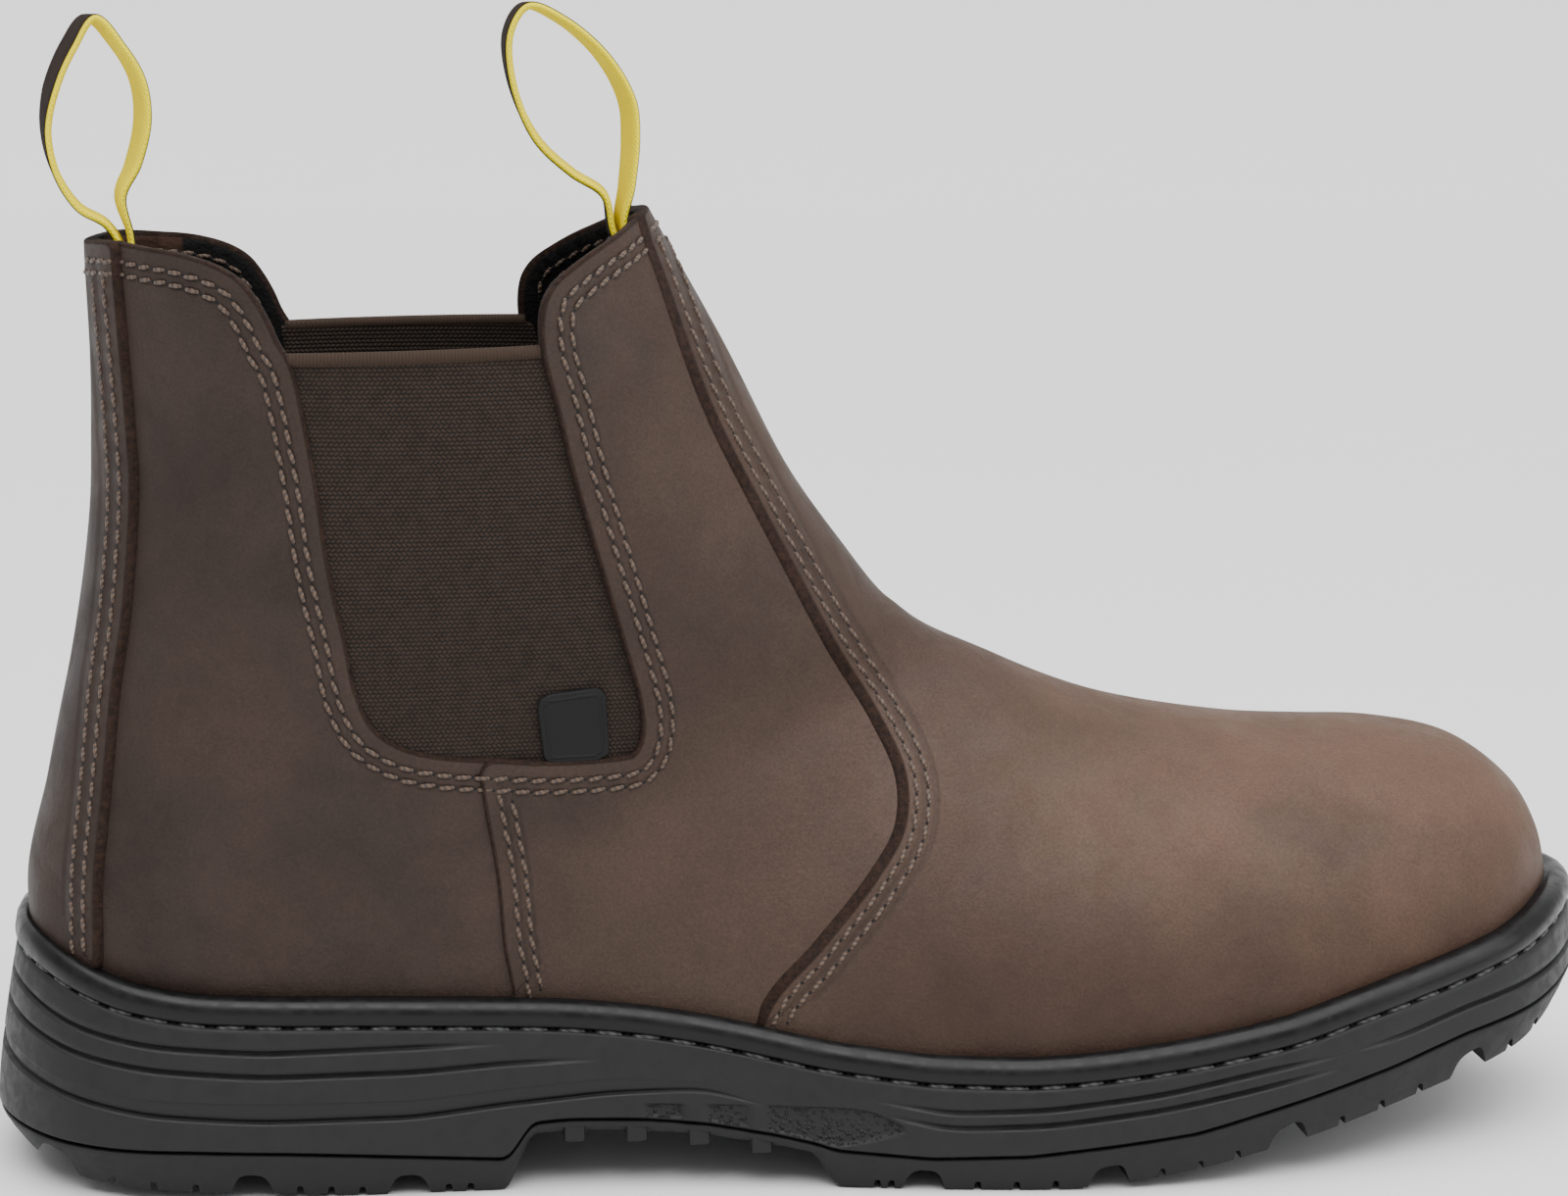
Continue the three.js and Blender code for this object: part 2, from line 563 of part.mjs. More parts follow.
// Welt: a round bead that hugs the leather and stands on the edge of the midsole.
function welt() {
  const inside = -REAR_QUARTER_DROP + PIECE_GAP;
  const bottom = (x) => footbedZ(x) + PIECE_GAP;
  const tall = (x) => rimZ(x) - bottom(x);
  const out = (share) => (x) => inside + (weltWidth(x) - inside) * share;
  const at = (share) => (x) => bottom(x) + tall(x) * share;
  const section = [
    [0, 0],
    [0.86, 0],
    [1, 0.3],
    [0.97, 0.62],
    [0.78, 0.9],
    [0.45, 1],
    [0, 1],
  ];
  const rings = section.map(([o, h]) => soleRing(out(o), at(h)));
  return ringTube(rings);
}

// A closed tube from rings that follow each other round its section.
function ringTube(rings) {
  const count = rings[0].length;
  const faces = [];
  for (let r = 0; r < rings.length; r++) {
    const [near, far] = [r * count, ((r + 1) % rings.length) * count];
    for (let i = 0; i < count; i++) {
      const next = (i + 1) % count;
      faces.push(near + i, near + next, far + next, near + i, far + next, far + i);
    }
  }
  return solidOf(rings.flat(), faces);
}

function insole() {
  const inset = -(REAR_QUARTER_DROP + WALL + PIECE_GAP) - INSOLE_EASE;
  const bottom = (x) => footbedZ(x) + 1.5 * PIECE_GAP;
  const top = (x) => bottom(x) + INSOLE_THICKNESS;
  return soleBody([soleRing(inset, bottom), soleRing(inset, top)]);
}

const collarCut = () => sidePrism(above(COLLAR_LINE.map(([x, z]) => [alongLast(x), aboveRim(z)])));
const goreWindow = () => sidePrism(GORE_WINDOW.map(([x, z]) => [alongLast(x), aboveRim(z)]));

// Upper: three layers of leather by their laps, hollowed by the lining, open at collar and sole.
function upper() {
  const layer = (drop) => bootForm(-drop, 2 * LAST_PLACE, UPPER_RING_POINTS);
  const vamp = sidePrism(ahead(VAMP_EDGE, 26));
  const strip = sidePrism(behind(HEEL_STRIP_EDGE, 12));
  const front = sidePrism(ahead(SIDE_SEAM, 8));
  const lining = bootForm(-REAR_QUARTER_DROP - WALL, LAST_PLACE, LINING_RING_POINTS);
  const trimmed = soleBody([
    soleRing(-REAR_QUARTER_DROP, (x) => footbedZ(x) + PIECE_GAP),
    soleRing(-REAR_QUARTER_DROP, (x) => rimZ(x) + PIECE_GAP),
    soleRing(BALL_BREADTH / 2, (x) => rimZ(x) + PIECE_GAP),
    soleRing(BALL_BREADTH / 2, (x) => rimZ(x) + 2 * SHAFT_RISE),
  ]);
  return layer(REAR_QUARTER_DROP)
    .add(layer(FRONT_QUARTER_DROP).intersect(front))
    .add(layer(0).intersect(vamp.add(strip)))
    .subtract(lining)
    .subtract(collarCut())
    .subtract(goreWindow())
    .intersect(trimmed);
}

// Elastic gore: a sheet set below the leather's face, cut to the window with a gap all round.
function gore(side) {
  const sheet = bootForm(-GORE_DROP, 2 * LAST_PLACE, UPPER_RING_POINTS).subtract(
    bootForm(-GORE_DROP - GORE_WALL, 2 * LAST_PLACE, UPPER_RING_POINTS),
  );
  const window = GORE_WINDOW.map(([x, z]) => new THREE.Vector2(alongLast(x), aboveRim(z)));
  const middle = window.reduce((sum, p) => sum.add(p), new THREE.Vector2()).divideScalar(window.length);
  const shrunk = window.map((p) => {
    const out = p.clone().sub(middle);
    const held = p.add(out.clone().setLength(-PIECE_GAP * 1.4));
    return [held.x, held.y];
  });
  const goreTop = aboveRim(0.827);
  const below = sidePrism([[-FAR, -FAR], [FAR, -FAR], [FAR, goreTop], [-FAR, goreTop]]);
  return sheet.intersect(sidePrism(shrunk)).intersect(below).intersect(halfSpace(side));
}

const halfSpace = (side) => toSolid(new THREE.BoxGeometry(FAR, FAR, FAR).translate(0, (side * FAR) / 2, 0));

// Pull loops in the middle plane: shares as above, and the turn of the webbing in degrees. Each
// begins and ends inside the collar, against the lining.
const FRONT_LOOP = [
  { x: 0.3968, z: 0.918, turn: 0 },
  { x: 0.3829, z: 0.975, turn: 0 },
  { x: 0.3865, z: 1.03, turn: 2 },
  { x: 0.389, z: 1.09, turn: 4 },
  { x: 0.387, z: 1.142, turn: 4 },
  { x: 0.372, z: 1.2, turn: 0 },
  { x: 0.346, z: 1.249, turn: -3 },
  { x: 0.324, z: 1.267, turn: -6 },
  { x: 0.313, z: 1.233, turn: -8 },
  { x: 0.315, z: 1.165, turn: -8 },
  { x: 0.33, z: 1.092, turn: -8 },
  { x: 0.3515, z: 1.048, turn: -6 },
  { x: 0.372, z: 1.018, turn: -2 },
  { x: 0.377, z: 0.969, turn: 0 },
  { x: 0.391, z: 0.912, turn: 0 },
];
const REAR_LOOP = [
  { x: 0.0717, z: 0.9065, turn: 0 },
  { x: 0.0714, z: 0.95, turn: 0 },
  { x: 0.0625, z: 0.984, turn: 0 },
  { x: 0.046, z: 1.006, turn: -6 },
  { x: 0.033, z: 1.05, turn: -8 },
  { x: 0.0275, z: 1.105, turn: -8 },
  { x: 0.0315, z: 1.16, turn: -4 },
  { x: 0.043, z: 1.215, turn: 0 },
  { x: 0.0565, z: 1.252, turn: 2 },
  { x: 0.073, z: 1.215, turn: 5 },
  { x: 0.084, z: 1.172, turn: 6 },
  { x: 0.0865, z: 1.12, turn: 6 },
  { x: 0.08, z: 1.062, turn: 4 },
  { x: 0.0715, z: 1.02, turn: 2 },
  { x: 0.0775, z: 0.965, turn: 0 },
  { x: 0.0783, z: 0.9065, turn: 0 },
];

// Webbing that leaves the collar, runs round a long drop shape and comes back.
function pullLoop(rows) {
  const curve = new THREE.CatmullRomCurve3(
    rows.map((r) => new THREE.Vector3(alongLast(r.x), r.turn, aboveRim(r.z))),
    false,
    "centripetal",
  );
  const rings = [];
  for (let i = 0; i <= LOOP_STEPS; i++) {
    const p = curve.getPointAt(i / LOOP_STEPS);
    const along = curve.getTangentAt(i / LOOP_STEPS).setY(0).normalize();
    const turn = THREE.MathUtils.degToRad(p.y);
    const across = new THREE.Vector3(-Math.sin(turn), Math.cos(turn), 0).multiplyScalar(LOOP_BREADTH / 2);
    const deep = along.cross(across).normalize().multiplyScalar(LOOP_THICKNESS / 2);
    const middle = new THREE.Vector3(p.x, 0, p.z);
    rings.push(
      [[-1, -1], [1, -1], [1, 1], [-1, 1]].map(([a, d]) =>
        middle.clone().addScaledVector(across, a).addScaledVector(deep, d),
      ),
    );
  }
  return bodyFromRings(rings, (count, start) => [start, start + 1, start + 2, start, start + 2, start + 3]);
}

// Label tab: a small patch on the outer gore, tucked into the front lower corner of its window.
const TAB_OUTLINE = [[0.3205, 0.381], [0.36, 0.388], [0.3631, 0.2945], [0.3252, 0.2945]];
function labelTab() {
  const back = GORE_DROP - PIECE_GAP;
  const patch = bootForm(-back + TAB_THICKNESS, 2 * LAST_PLACE, UPPER_RING_POINTS)
    .subtract(bootForm(-back, 2 * LAST_PLACE, UPPER_RING_POINTS))
    .intersect(sidePrism(TAB_OUTLINE.map(([x, z]) => [alongLast(x), aboveRim(z)])));
  return patch.intersect(halfSpace(-1));
}

const boot = new THREE.Group();
function addPiece(name, solid, color, roughness) {
  const material = new THREE.MeshStandardMaterial({ color, roughness, metalness: 0 });
  const mesh = new THREE.Mesh(toGeometry(solid), material);
  mesh.name = name;
  boot.add(mesh);
}

addPiece("outsole", outsole(), 0x242424, 0.6);
addPiece("midsole", midsole(), 0x2a2a2a, 0.55);
addPiece("welt", welt(), 0x202020, 0.4);
addPiece("insole", insole(), 0x2c2a28, 0.9);
addPiece("upper", upper(), 0x5a463b, 0.75);
addPiece("gore_outer", gore(-1), 0x3b302a, 0.95);
addPiece("gore_inner", gore(1), 0x3b302a, 0.95);
addPiece("pull_loop_front", pullLoop(FRONT_LOOP), 0xe9d62f, 0.9);
addPiece("pull_loop_rear", pullLoop(REAR_LOOP), 0xe9d62f, 0.9);
addPiece("label_tab", labelTab(), 0x1c1c1c, 0.8);

// Stand the boot with the middle of its box over the origin and its tread on the floor.
const box = new THREE.Box3().setFromObject(boot);
const middle = box.getCenter(new THREE.Vector3());
for (const mesh of boot.children) mesh.geometry.translate(-middle.x, -middle.y, -box.min.z);

export default boot;
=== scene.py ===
"""Side gore work boot: its looks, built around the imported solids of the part."""

import math

import bpy
import numpy as np
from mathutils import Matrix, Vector


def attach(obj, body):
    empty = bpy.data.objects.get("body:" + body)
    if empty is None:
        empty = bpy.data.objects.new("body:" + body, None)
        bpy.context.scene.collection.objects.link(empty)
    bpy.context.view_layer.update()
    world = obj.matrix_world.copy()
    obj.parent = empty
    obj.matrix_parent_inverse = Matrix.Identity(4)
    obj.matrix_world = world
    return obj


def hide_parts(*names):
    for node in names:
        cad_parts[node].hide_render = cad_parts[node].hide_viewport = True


bl_info = {
    "name": "Side Gore Work Boot",
    "version": (1, 0, 0),
    "blender": (4, 5, 0),
    "location": "3D Viewport > Sidebar > Boot",
    "description": "Dresses a slip-on leather work boot piece by piece",
    "category": "Add Mesh",
}

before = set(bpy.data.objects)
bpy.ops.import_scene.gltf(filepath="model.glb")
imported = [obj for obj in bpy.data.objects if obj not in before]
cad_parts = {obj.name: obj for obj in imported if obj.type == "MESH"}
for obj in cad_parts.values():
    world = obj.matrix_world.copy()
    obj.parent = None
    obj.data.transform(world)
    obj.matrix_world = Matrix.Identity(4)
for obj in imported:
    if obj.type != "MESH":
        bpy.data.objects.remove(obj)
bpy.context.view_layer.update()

# Sizes of the last in millimetres. They are those of the part's source, but for the toe's last
# sections, the sole's edge at the toe and the tread's channel, which are a little different here
MM = 0.001
LAST_LENGTH = 295.0
BALL_BREADTH = 99.5
SHAFT_BREADTH = 77.0
RIM_HEIGHT = 38.0
SHAFT_RISE = 139.0
HEEL_X = -LAST_LENGTH / 2 - 0.5
STAND = np.array([0.013, -0.107, 0.0])  # puts the middle of the boot's box over the origin

# Layers of the upper: how far each face lies below the face of the vamp
REAR_DROP = 1.5
FRONT_DROP = 0.8
GORE_DROP = 2.2
LEATHER_BACK = 2.9
LINING_FACE = 2.8
LINING_BACK = 3.6

# Sole
WELT_WIDTH = 5.0
WELT_HEIGHT = 4.8
SOLE_FLARE = 4.6
GROOVE_DEPTH = 1.1
STITCH_GROOVE = 1.1
LUG_TUCK = 3.4
LUG_DEPTH = 4.2
NOTCH_WIDTH = 7.5
TREAD_CHANNEL = 9.0
CHANNEL_SWING = 5.0
PARTING_LAP = 0.12  # midsole and outsole meet this far above the parting line
PIECE_GAP = 0.3


def along_last(share):
    return HEEL_X + np.asarray(share, float) * LAST_LENGTH


def above_rim(share):
    return RIM_HEIGHT + np.asarray(share, float) * SHAFT_RISE


# Columns: front x and z, back x and z, ridge, outer, inner, belly, round, back
SHAFT_SECTIONS = [
    [0.376, 1.094, 0.049, 1.08, 0, -0.49, 0.49, 0.48, 2.05, 2.05],
    [0.404, 0.985, 0.0485, 0.95, 0, -0.495, 0.495, 0.48, 2.05, 2.05],
    [0.446, 0.825, 0.05, 0.805, 0, -0.5, 0.5, 0.47, 2.05, 2.05],
    [0.489, 0.649, 0.048, 0.68, 0.01, -0.5, 0.5, 0.44, 2.1, 2.1],
    [0.529, 0.528, 0.042, 0.535, 0.02, -0.5, 0.505, 0.4, 2.15, 2.15],
]
FOOT_SECTIONS = [
    [0.549, 0.475, 0.031, 0.41, 0.02, -0.383, 0.392, 0.36, 2.2, 2.2],
    [0.563, 0.451, 0.0155, 0.255, 0.025, -0.374, 0.388, 0.31, 2.25, 2.25],
    [0.576, 0.431, 0, 0.09, 0.03, -0.362, 0.386, 0.27, 2.3, 2.35],
    [0.591, 0.412, 0.022, -0.075, 0.035, -0.35, 0.38, 0.24, 2.35, 2.7],
    [0.606, 0.395, 0.145, -0.13, 0.035, -0.35, 0.365, 0.24, 2.35, 3.4],
    [0.622, 0.378, 0.285, -0.15, 0.04, -0.358, 0.318, 0.24, 2.3, 4.2],
    [0.645, 0.357, 0.42, -0.175, 0.045, -0.395, 0.3, 0.24, 2.15, 4.6],
    [0.681, 0.331, 0.555, -0.21, 0.05, -0.455, 0.37, 0.26, 2, 5],
    [0.736, 0.297, 0.67, -0.23, 0.055, -0.49, 0.455, 0.3, 2, 5],
    [0.79, 0.275, 0.765, -0.22, 0.06, -0.477, 0.493, 0.32, 2.05, 5],
    [0.843, 0.268, 0.827, -0.19, 0.065, -0.44, 0.483, 0.33, 2.15, 5],
    [0.894, 0.262, 0.858, -0.17, 0.07, -0.4, 0.463, 0.31, 2.2, 5],
    [0.942, 0.24, 0.872, -0.16, 0.066, -0.372, 0.445, 0.27, 2.15, 5],
    [0.977, 0.188, 0.88, -0.15, 0.058, -0.356, 0.43, 0.22, 2, 5],
    [0.9955, 0.13, 0.884, -0.145, 0.05, -0.352, 0.42, 0.16, 1.82, 5],
    [1.0045, 0.068, 0.887, -0.14, 0.046, -0.35, 0.41, 0.1, 1.66, 4],
    [1.0075, 0, 0.889, -0.135, 0.044, -0.348, 0.405, 0.08, 1.6, 4],
    [1.008, -0.07, 0.891, -0.13, 0.044, -0.346, 0.403, 0.08, 1.58, 4],
]


def sized_sections():
    rows = np.array(SHAFT_SECTIONS + FOOT_SECTIONS, float)
    breadth = np.array([SHAFT_BREADTH] * len(SHAFT_SECTIONS) + [BALL_BREADTH] * len(FOOT_SECTIONS))
    rows[:, [0, 2]] = along_last(rows[:, [0, 2]])
    rows[:, [1, 3]] = above_rim(rows[:, [1, 3]])
    rows[:, 4:7] *= breadth[:, None]
    return rows


SECTIONS = sized_sections()
LAST_PLACE = len(SECTIONS) - 1.0

# Columns: x as a share of the last, then rim, parting and tread as shares of the rim's height
SOLE_HEIGHTS = np.array([
    [-0.02, 1.26, 0.3, 0.155],
    [0.01, 1.235, 0.288, 0.14],
    [0.035, 1.145, 0.268, 0.085],
    [0.065, 1.06, 0.26, 0.058],
    [0.105, 1.008, 0.256, 0.042],
    [0.16, 0.986, 0.235, 0.022],
    [0.21, 0.975, 0.21, 0],
    [0.297, 0.95, 0.165, 0],
    [0.312, 0.945, 0.34, 0.275],
    [0.335, 0.935, 0.352, 0.29],
    [0.38, 0.9, 0.345, 0.283],
    [0.42, 0.85, 0.32, 0.26],
    [0.46, 0.785, 0.27, 0.215],
    [0.488, 0.735, 0.225, 0.175],
    [0.503, 0.715, 0.19, 0],
    [0.56, 0.66, 0.158, 0],
    [0.62, 0.65, 0.172, 0],
    [0.66, 0.672, 0.21, 0.012],
    [0.72, 0.73, 0.27, 0.078],
    [0.78, 0.805, 0.385, 0.175],
    [0.84, 0.925, 0.5, 0.29],
    [0.9, 1.025, 0.62, 0.395],
    [0.95, 1.125, 0.69, 0.495],
    [0.98, 1.195, 0.74, 0.575],
    [1, 1.205, 0.76, 0.62],
    [1.03, 1.2, 0.785, 0.65],
])
# Columns: x, then high, low, band top and band foot, then the depths of high, low and band
SIDE_LINES = np.array([
    [-0.02, 1.05, 0.9, 0.76, 0.67, 1, 1, 1],
    [0.012, 0.93, 0.79, 0.642, 0.565, 1, 1, 1],
    [0.04, 0.83, 0.709, 0.567, 0.497, 1, 1, 1],
    [0.08, 0.768, 0.657, 0.524, 0.44, 1, 1, 1],
    [0.15, 0.727, 0.614, 0.496, 0.398, 1, 1, 1],
    [0.24, 0.735, 0.615, 0.487, 0.395, 0.8, 1, 1],
    [0.3, 0.744, 0.645, 0.53, 0.445, 0, 0.8, 1],
    [0.36, 0.72, 0.655, 0.565, 0.485, 0, 0, 0.9],
    [0.42, 0.66, 0.6, 0.545, 0.5, 0, 0, 0.5],
    [0.46, 0.57, 0.515, 0.46, 0.42, 0, 0, 0],
    [0.52, 0.46, 0.4, 0.34, 0.3, 0, 0, 0],
    [0.57, 0.39, 0.315, 0.262, 0.235, 0.7, 0.7, 0],
    [0.63, 0.405, 0.33, 0.28, 0.25, 1, 1, 0],
    [0.7, 0.475, 0.4, 0.355, 0.325, 1, 1, 0],
    [0.76, 0.56, 0.48, 0.44, 0.41, 1, 1, 0],
    [0.815, 0.62, 0.56, 0.53, 0.505, 0, 0, 0],
    [0.86, 0.68, 0.64, 0.61, 0.585, 0.8, 0, 0],
    [0.9, 0.76, 0.72, 0.69, 0.665, 1, 0, 0],
    [0.95, 0.83, 0.785, 0.755, 0.73, 1, 0, 0],
    [1, 0.885, 0.85, 0.82, 0.795, 1, 0, 0],
    [1.03, 0.905, 0.87, 0.84, 0.815, 1, 0, 0],
])
# Columns: x, then welt, flare and tuck as shares of their own widths
EDGE_WIDTHS = np.array([
    [-0.02, 0.5, 1, 1],
    [0.03, 0.6, 0.9, 1],
    [0.12, 0.8, 0.52, 0.9],
    [0.3, 0.9, 0.33, 0.8],
    [0.45, 0.9, 0.26, 0.6],
    [0.62, 1, 0.26, 0.55],
    [0.85, 1.02, 0.26, 0.6],
    [1.03, 1.02, 0.28, 0.8],
])
HEEL_NOTCHES = [0.0195, 0.14, 0.236]
FOREFOOT_NOTCHES = [0.553, 0.667, 0.782, 0.911]
ARCH_BARS = [0.338, 0.3765, 0.415, 0.4535]
HEEL_PAD = [0.02, 0.3]
FOREFOOT_PAD = [0.5, 0.965]

# Lines of the upper seen from the side: shares of the last's length and of the shaft's rise
REAR_COLLAR = [
    [-0.1, 0.957], [0.03, 0.957], [0.065, 0.965], [0.0901, 0.9595], [0.1115, 0.953], [0.132, 0.9395],
    [0.1445, 0.9235], [0.1525, 0.903], [0.1604, 0.874], [0.166, 0.846],
]
GORE_WINDOW = [
    [0.173, 0.82], [0.1857, 0.6816], [0.1937, 0.5534], [0.2022, 0.4646], [0.2088, 0.3901], [0.2197, 0.3437],
    [0.2384, 0.3169], [0.2666, 0.3024], [0.2954, 0.297], [0.3245, 0.2911], [0.3635, 0.2908],
    [0.3812, 0.2963], [0.3861, 0.3255], [0.3851, 0.3642], [0.3731, 0.4591], [0.3561, 0.5844],
    [0.3452, 0.6665], [0.3343, 0.767], [0.327, 0.83],
]
FRONT_COLLAR = [
    [0.3265, 0.873], [0.329, 0.896], [0.336, 0.918], [0.345, 0.9325], [0.36, 0.953], [0.374, 0.969],
    [0.386, 0.984], [0.397, 0.998], [0.47, 1.05],
]
VAMP_EDGE = [
    [0.39, 1.2], [0.394, 1.0], [0.4083, 0.9], [0.4317, 0.755], [0.4656, 0.609], [0.5092, 0.433],
    [0.5389, 0.327], [0.5524, 0.255], [0.549, 0.19], [0.5294, 0.1265], [0.4927, 0.037],
    [0.4596, -0.046], [0.44, -0.3],
]
HEEL_STRIP_EDGE = [
    [0.067, 1.2], [0.0677, 0.965], [0.0738, 0.725], [0.0747, 0.65], [0.0678, 0.484], [0.0607, 0.395],
    [0.054, 0.269], [0.0473, 0.143], [0.0462, 0.065], [0.046, -0.3],
]
SIDE_SEAM = [
    [0.285, 1.2], [0.285, 0.3], [0.2867, 0.257], [0.2952, 0.141], [0.2985, 0.05], [0.3034, -0.013],
    [0.308, -0.3],
]
TAB_OUTLINE = [[0.3205, 0.381], [0.36, 0.388], [0.3631, 0.2945], [0.3252, 0.2945]]
GORE_TOP = 0.827

# Soft dents and swells of the leather: both ends in the side view, half width, height
RELIEF = [
    [0.075, 0.62, 0.17, 0.72, 9, -0.7],
    [0.09, 0.50, 0.19, 0.53, 8, 0.5],
    [0.06, 0.40, 0.15, 0.36, 9, -0.5],
    [0.44, 0.62, 0.40, 0.50, 12, -0.5],
    [0.58, 0.42, 0.545, 0.30, 9, -0.5],
    [0.62, 0.36, 0.60, 0.22, 9, 0.4],
    [0.69, 0.31, 0.66, 0.16, 10, -0.5],
    [0.78, 0.26, 0.76, 0.14, 12, 0.4],
]


def table_curve(table, column, soften):
    """A column of a table along the boot, with its corners softened over a few millimetres."""
    fine = np.arange(-8.0, LAST_LENGTH + 9.0, 0.25)
    values = np.interp(fine / LAST_LENGTH, table[:, 0], table[:, column])
    if soften:
        reach = np.arange(-int(soften * 10), int(soften * 10) + 1) * 0.25
        weights = np.exp(-0.5 * (reach / soften) ** 2)
        padded = np.pad(values, len(reach) // 2, mode="edge")
        values = np.convolve(padded, weights / weights.sum(), mode="valid")
    return lambda x: np.interp(np.asarray(x, float) - HEEL_X, fine, values)


rim_share = table_curve(SOLE_HEIGHTS, 1, 3.0)
parting_share = table_curve(SOLE_HEIGHTS, 2, 0.9)
tread_share = table_curve(SOLE_HEIGHTS, 3, 0.6)
welt_share = table_curve(EDGE_WIDTHS, 1, 4.0)
flare_share = table_curve(EDGE_WIDTHS, 2, 4.0)
tuck_share = table_curve(EDGE_WIDTHS, 3, 4.0)


def rim_z(x):
    return RIM_HEIGHT * rim_share(x)


def footbed_z(x):
    return rim_z(x) - WELT_HEIGHT - STITCH_GROOVE / 2


def parting_z(x):
    return RIM_HEIGHT * parting_share(x)


def tread_z(x):
    return RIM_HEIGHT * tread_share(x)


def welt_width(x):
    return WELT_WIDTH * welt_share(x)


def flare_width(x):
    return SOLE_FLARE * flare_share(x)


def lug_tuck(x):
    return LUG_TUCK * tuck_share(x)


def row_at(place):
    """Sections between the rows of the table, by their place in it."""
    place = np.asarray(place, float)
    top = len(SECTIONS) - 1
    i = np.clip(np.floor(place).astype(int), 0, top - 1)
    t = (place - i)[..., None]
    a, b, c, d = (SECTIONS[np.clip(i + k, 0, top)] for k in (-1, 0, 1, 2))
    return b + 0.5 * t * (c - a + t * (2 * a - 5 * b + 4 * c - d + t * (3 * (b - c) + d - a)))


def last_point(place, turn):
    """A point of the last: place runs down the sections, turn once round from the front end."""
    columns = np.moveaxis(row_at(place), -1, 0)
    front_x, front_z, back_x, back_z, ridge, outer, inner, belly, round_, back = columns
    turn = np.mod(turn, 2 * math.pi)
    c = np.cos(turn)
    ahead = c >= 0
    power = 2 / np.where(ahead, round_, back)
    rise = np.sign(c) * np.abs(c) ** power
    spread = np.abs(np.sin(turn)) ** power
    along = belly + rise * np.where(ahead, 1 - belly, belly)
    side = np.where(turn <= math.pi, outer, inner)
    x = back_x + (front_x - back_x) * along
    z = back_z + (front_z - back_z) * along
    return np.stack([x, ridge + (side - ridge) * spread, z], -1)


def outward(place, turn):
    step = 1e-3
    below = last_point(np.minimum(place + step, LAST_PLACE), turn)
    down = below - last_point(np.maximum(place - step, 0), turn)
    round_ = last_point(place, turn + step) - last_point(place, turn - step)
    normal = np.cross(round_, down)
    return normal / np.maximum(np.linalg.norm(normal, axis=-1, keepdims=True), 1e-12)


def relief(points):
    """Soft dents and swells of the upper, in millimetres, at points of the side view."""
    total = np.zeros(points.shape[:-1])
    flat = points[..., [0, 2]]
    for x0, z0, x1, z1, half, height in RELIEF:
        a = np.array([along_last(x0), above_rim(z0)])
        b = np.array([along_last(x1), above_rim(z1)])
        run = b - a
        t = np.clip(((flat - a) @ run) / (run @ run), 0, 1)
        away = np.linalg.norm(flat - a - t[..., None] * run, axis=-1)
        total += height * np.exp(-((away / half) ** 2))
    return total


def face_point(place, turn, offset):
    """The upper at a distance from the last's face, with the outward direction there."""
    base = last_point(place, turn)
    normal = outward(place, turn)
    return base + normal * (offset + relief(base))[..., None], normal


def side_place(x, z):
    """Place and turn of the outer side's point that shows at x and z in the side view."""
    x = np.asarray(x, float)
    z = np.asarray(z, float)
    low = np.zeros(x.shape)
    high = np.full(x.shape, LAST_PLACE)
    for _ in range(36):
        middle = (low + high) / 2
        s = row_at(middle)
        behind = (s[..., 0] - s[..., 2]) * (z - s[..., 3]) - (s[..., 1] - s[..., 3]) * (x - s[..., 2]) < 0
        low = np.where(behind, middle, low)
        high = np.where(behind, high, middle)
    s = row_at(low)
    dx = s[..., 0] - s[..., 2]
    dz = s[..., 1] - s[..., 3]
    along = ((x - s[..., 2]) * dx + (z - s[..., 3]) * dz) / (dx * dx + dz * dz)
    belly = s[..., 7]
    rise = np.where(along >= belly, (along - belly) / (1 - belly), (along - belly) / belly)
    power = np.where(along >= belly, s[..., 8], s[..., 9])
    rise = np.clip(rise, -1, 1)
    spread = (1 - np.abs(rise) ** power) ** (1 / power)
    turn = np.arccos(np.clip(np.sign(rise) * np.abs(rise) ** (power / 2), -1, 1))
    y_outer = s[..., 4] + (s[..., 5] - s[..., 4]) * spread
    y_inner = s[..., 4] + (s[..., 6] - s[..., 4]) * spread
    return low, turn, y_outer, y_inner, spread


def on_side(points, side, offset):
    """Points of a side-view line laid on the face: side -1 is the outer side, 1 the inner."""
    aim = np.array(points, float)
    want = aim.copy()
    for _ in range(3):
        place, turn = side_place(want[:, 0], want[:, 1])[:2]
        turn = turn if side < 0 else 2 * math.pi - turn
        at, normal = face_point(place, turn, np.zeros(len(aim)) + offset)
        want += aim - at[:, [0, 2]]
    return at, normal


def smooth_line(line, spacing=1.0, shares=True):
    """A smooth run through given points, in millimetres of the side view."""
    p = np.array(line, float)
    if shares:
        p = np.stack([along_last(p[:, 0]), above_rim(p[:, 1])], -1)
    p = np.vstack([2 * p[0] - p[1], p, 2 * p[-1] - p[-2]])
    made = []
    for a, b, c, d in zip(p[:-3], p[1:-2], p[2:-1], p[3:]):
        t1 = math.sqrt(np.linalg.norm(b - a))
        t2 = t1 + math.sqrt(np.linalg.norm(c - b))
        t3 = t2 + math.sqrt(np.linalg.norm(d - c))
        count = max(2, int(np.linalg.norm(c - b) / spacing))
        for t in np.linspace(t1, t2, count, endpoint=False):
            ab = a + (b - a) * t / t1
            bc = b + (c - b) * (t - t1) / (t2 - t1)
            cd = c + (d - c) * (t - t2) / (t3 - t2)
            abc = ab + (bc - ab) * t / t2
            bcd = bc + (cd - bc) * (t - t1) / (t3 - t1)
            made.append(abc + (bcd - abc) * (t - t1) / (t2 - t1))
    made.append(p[-2])
    return np.array(made)


FAR = 600.0


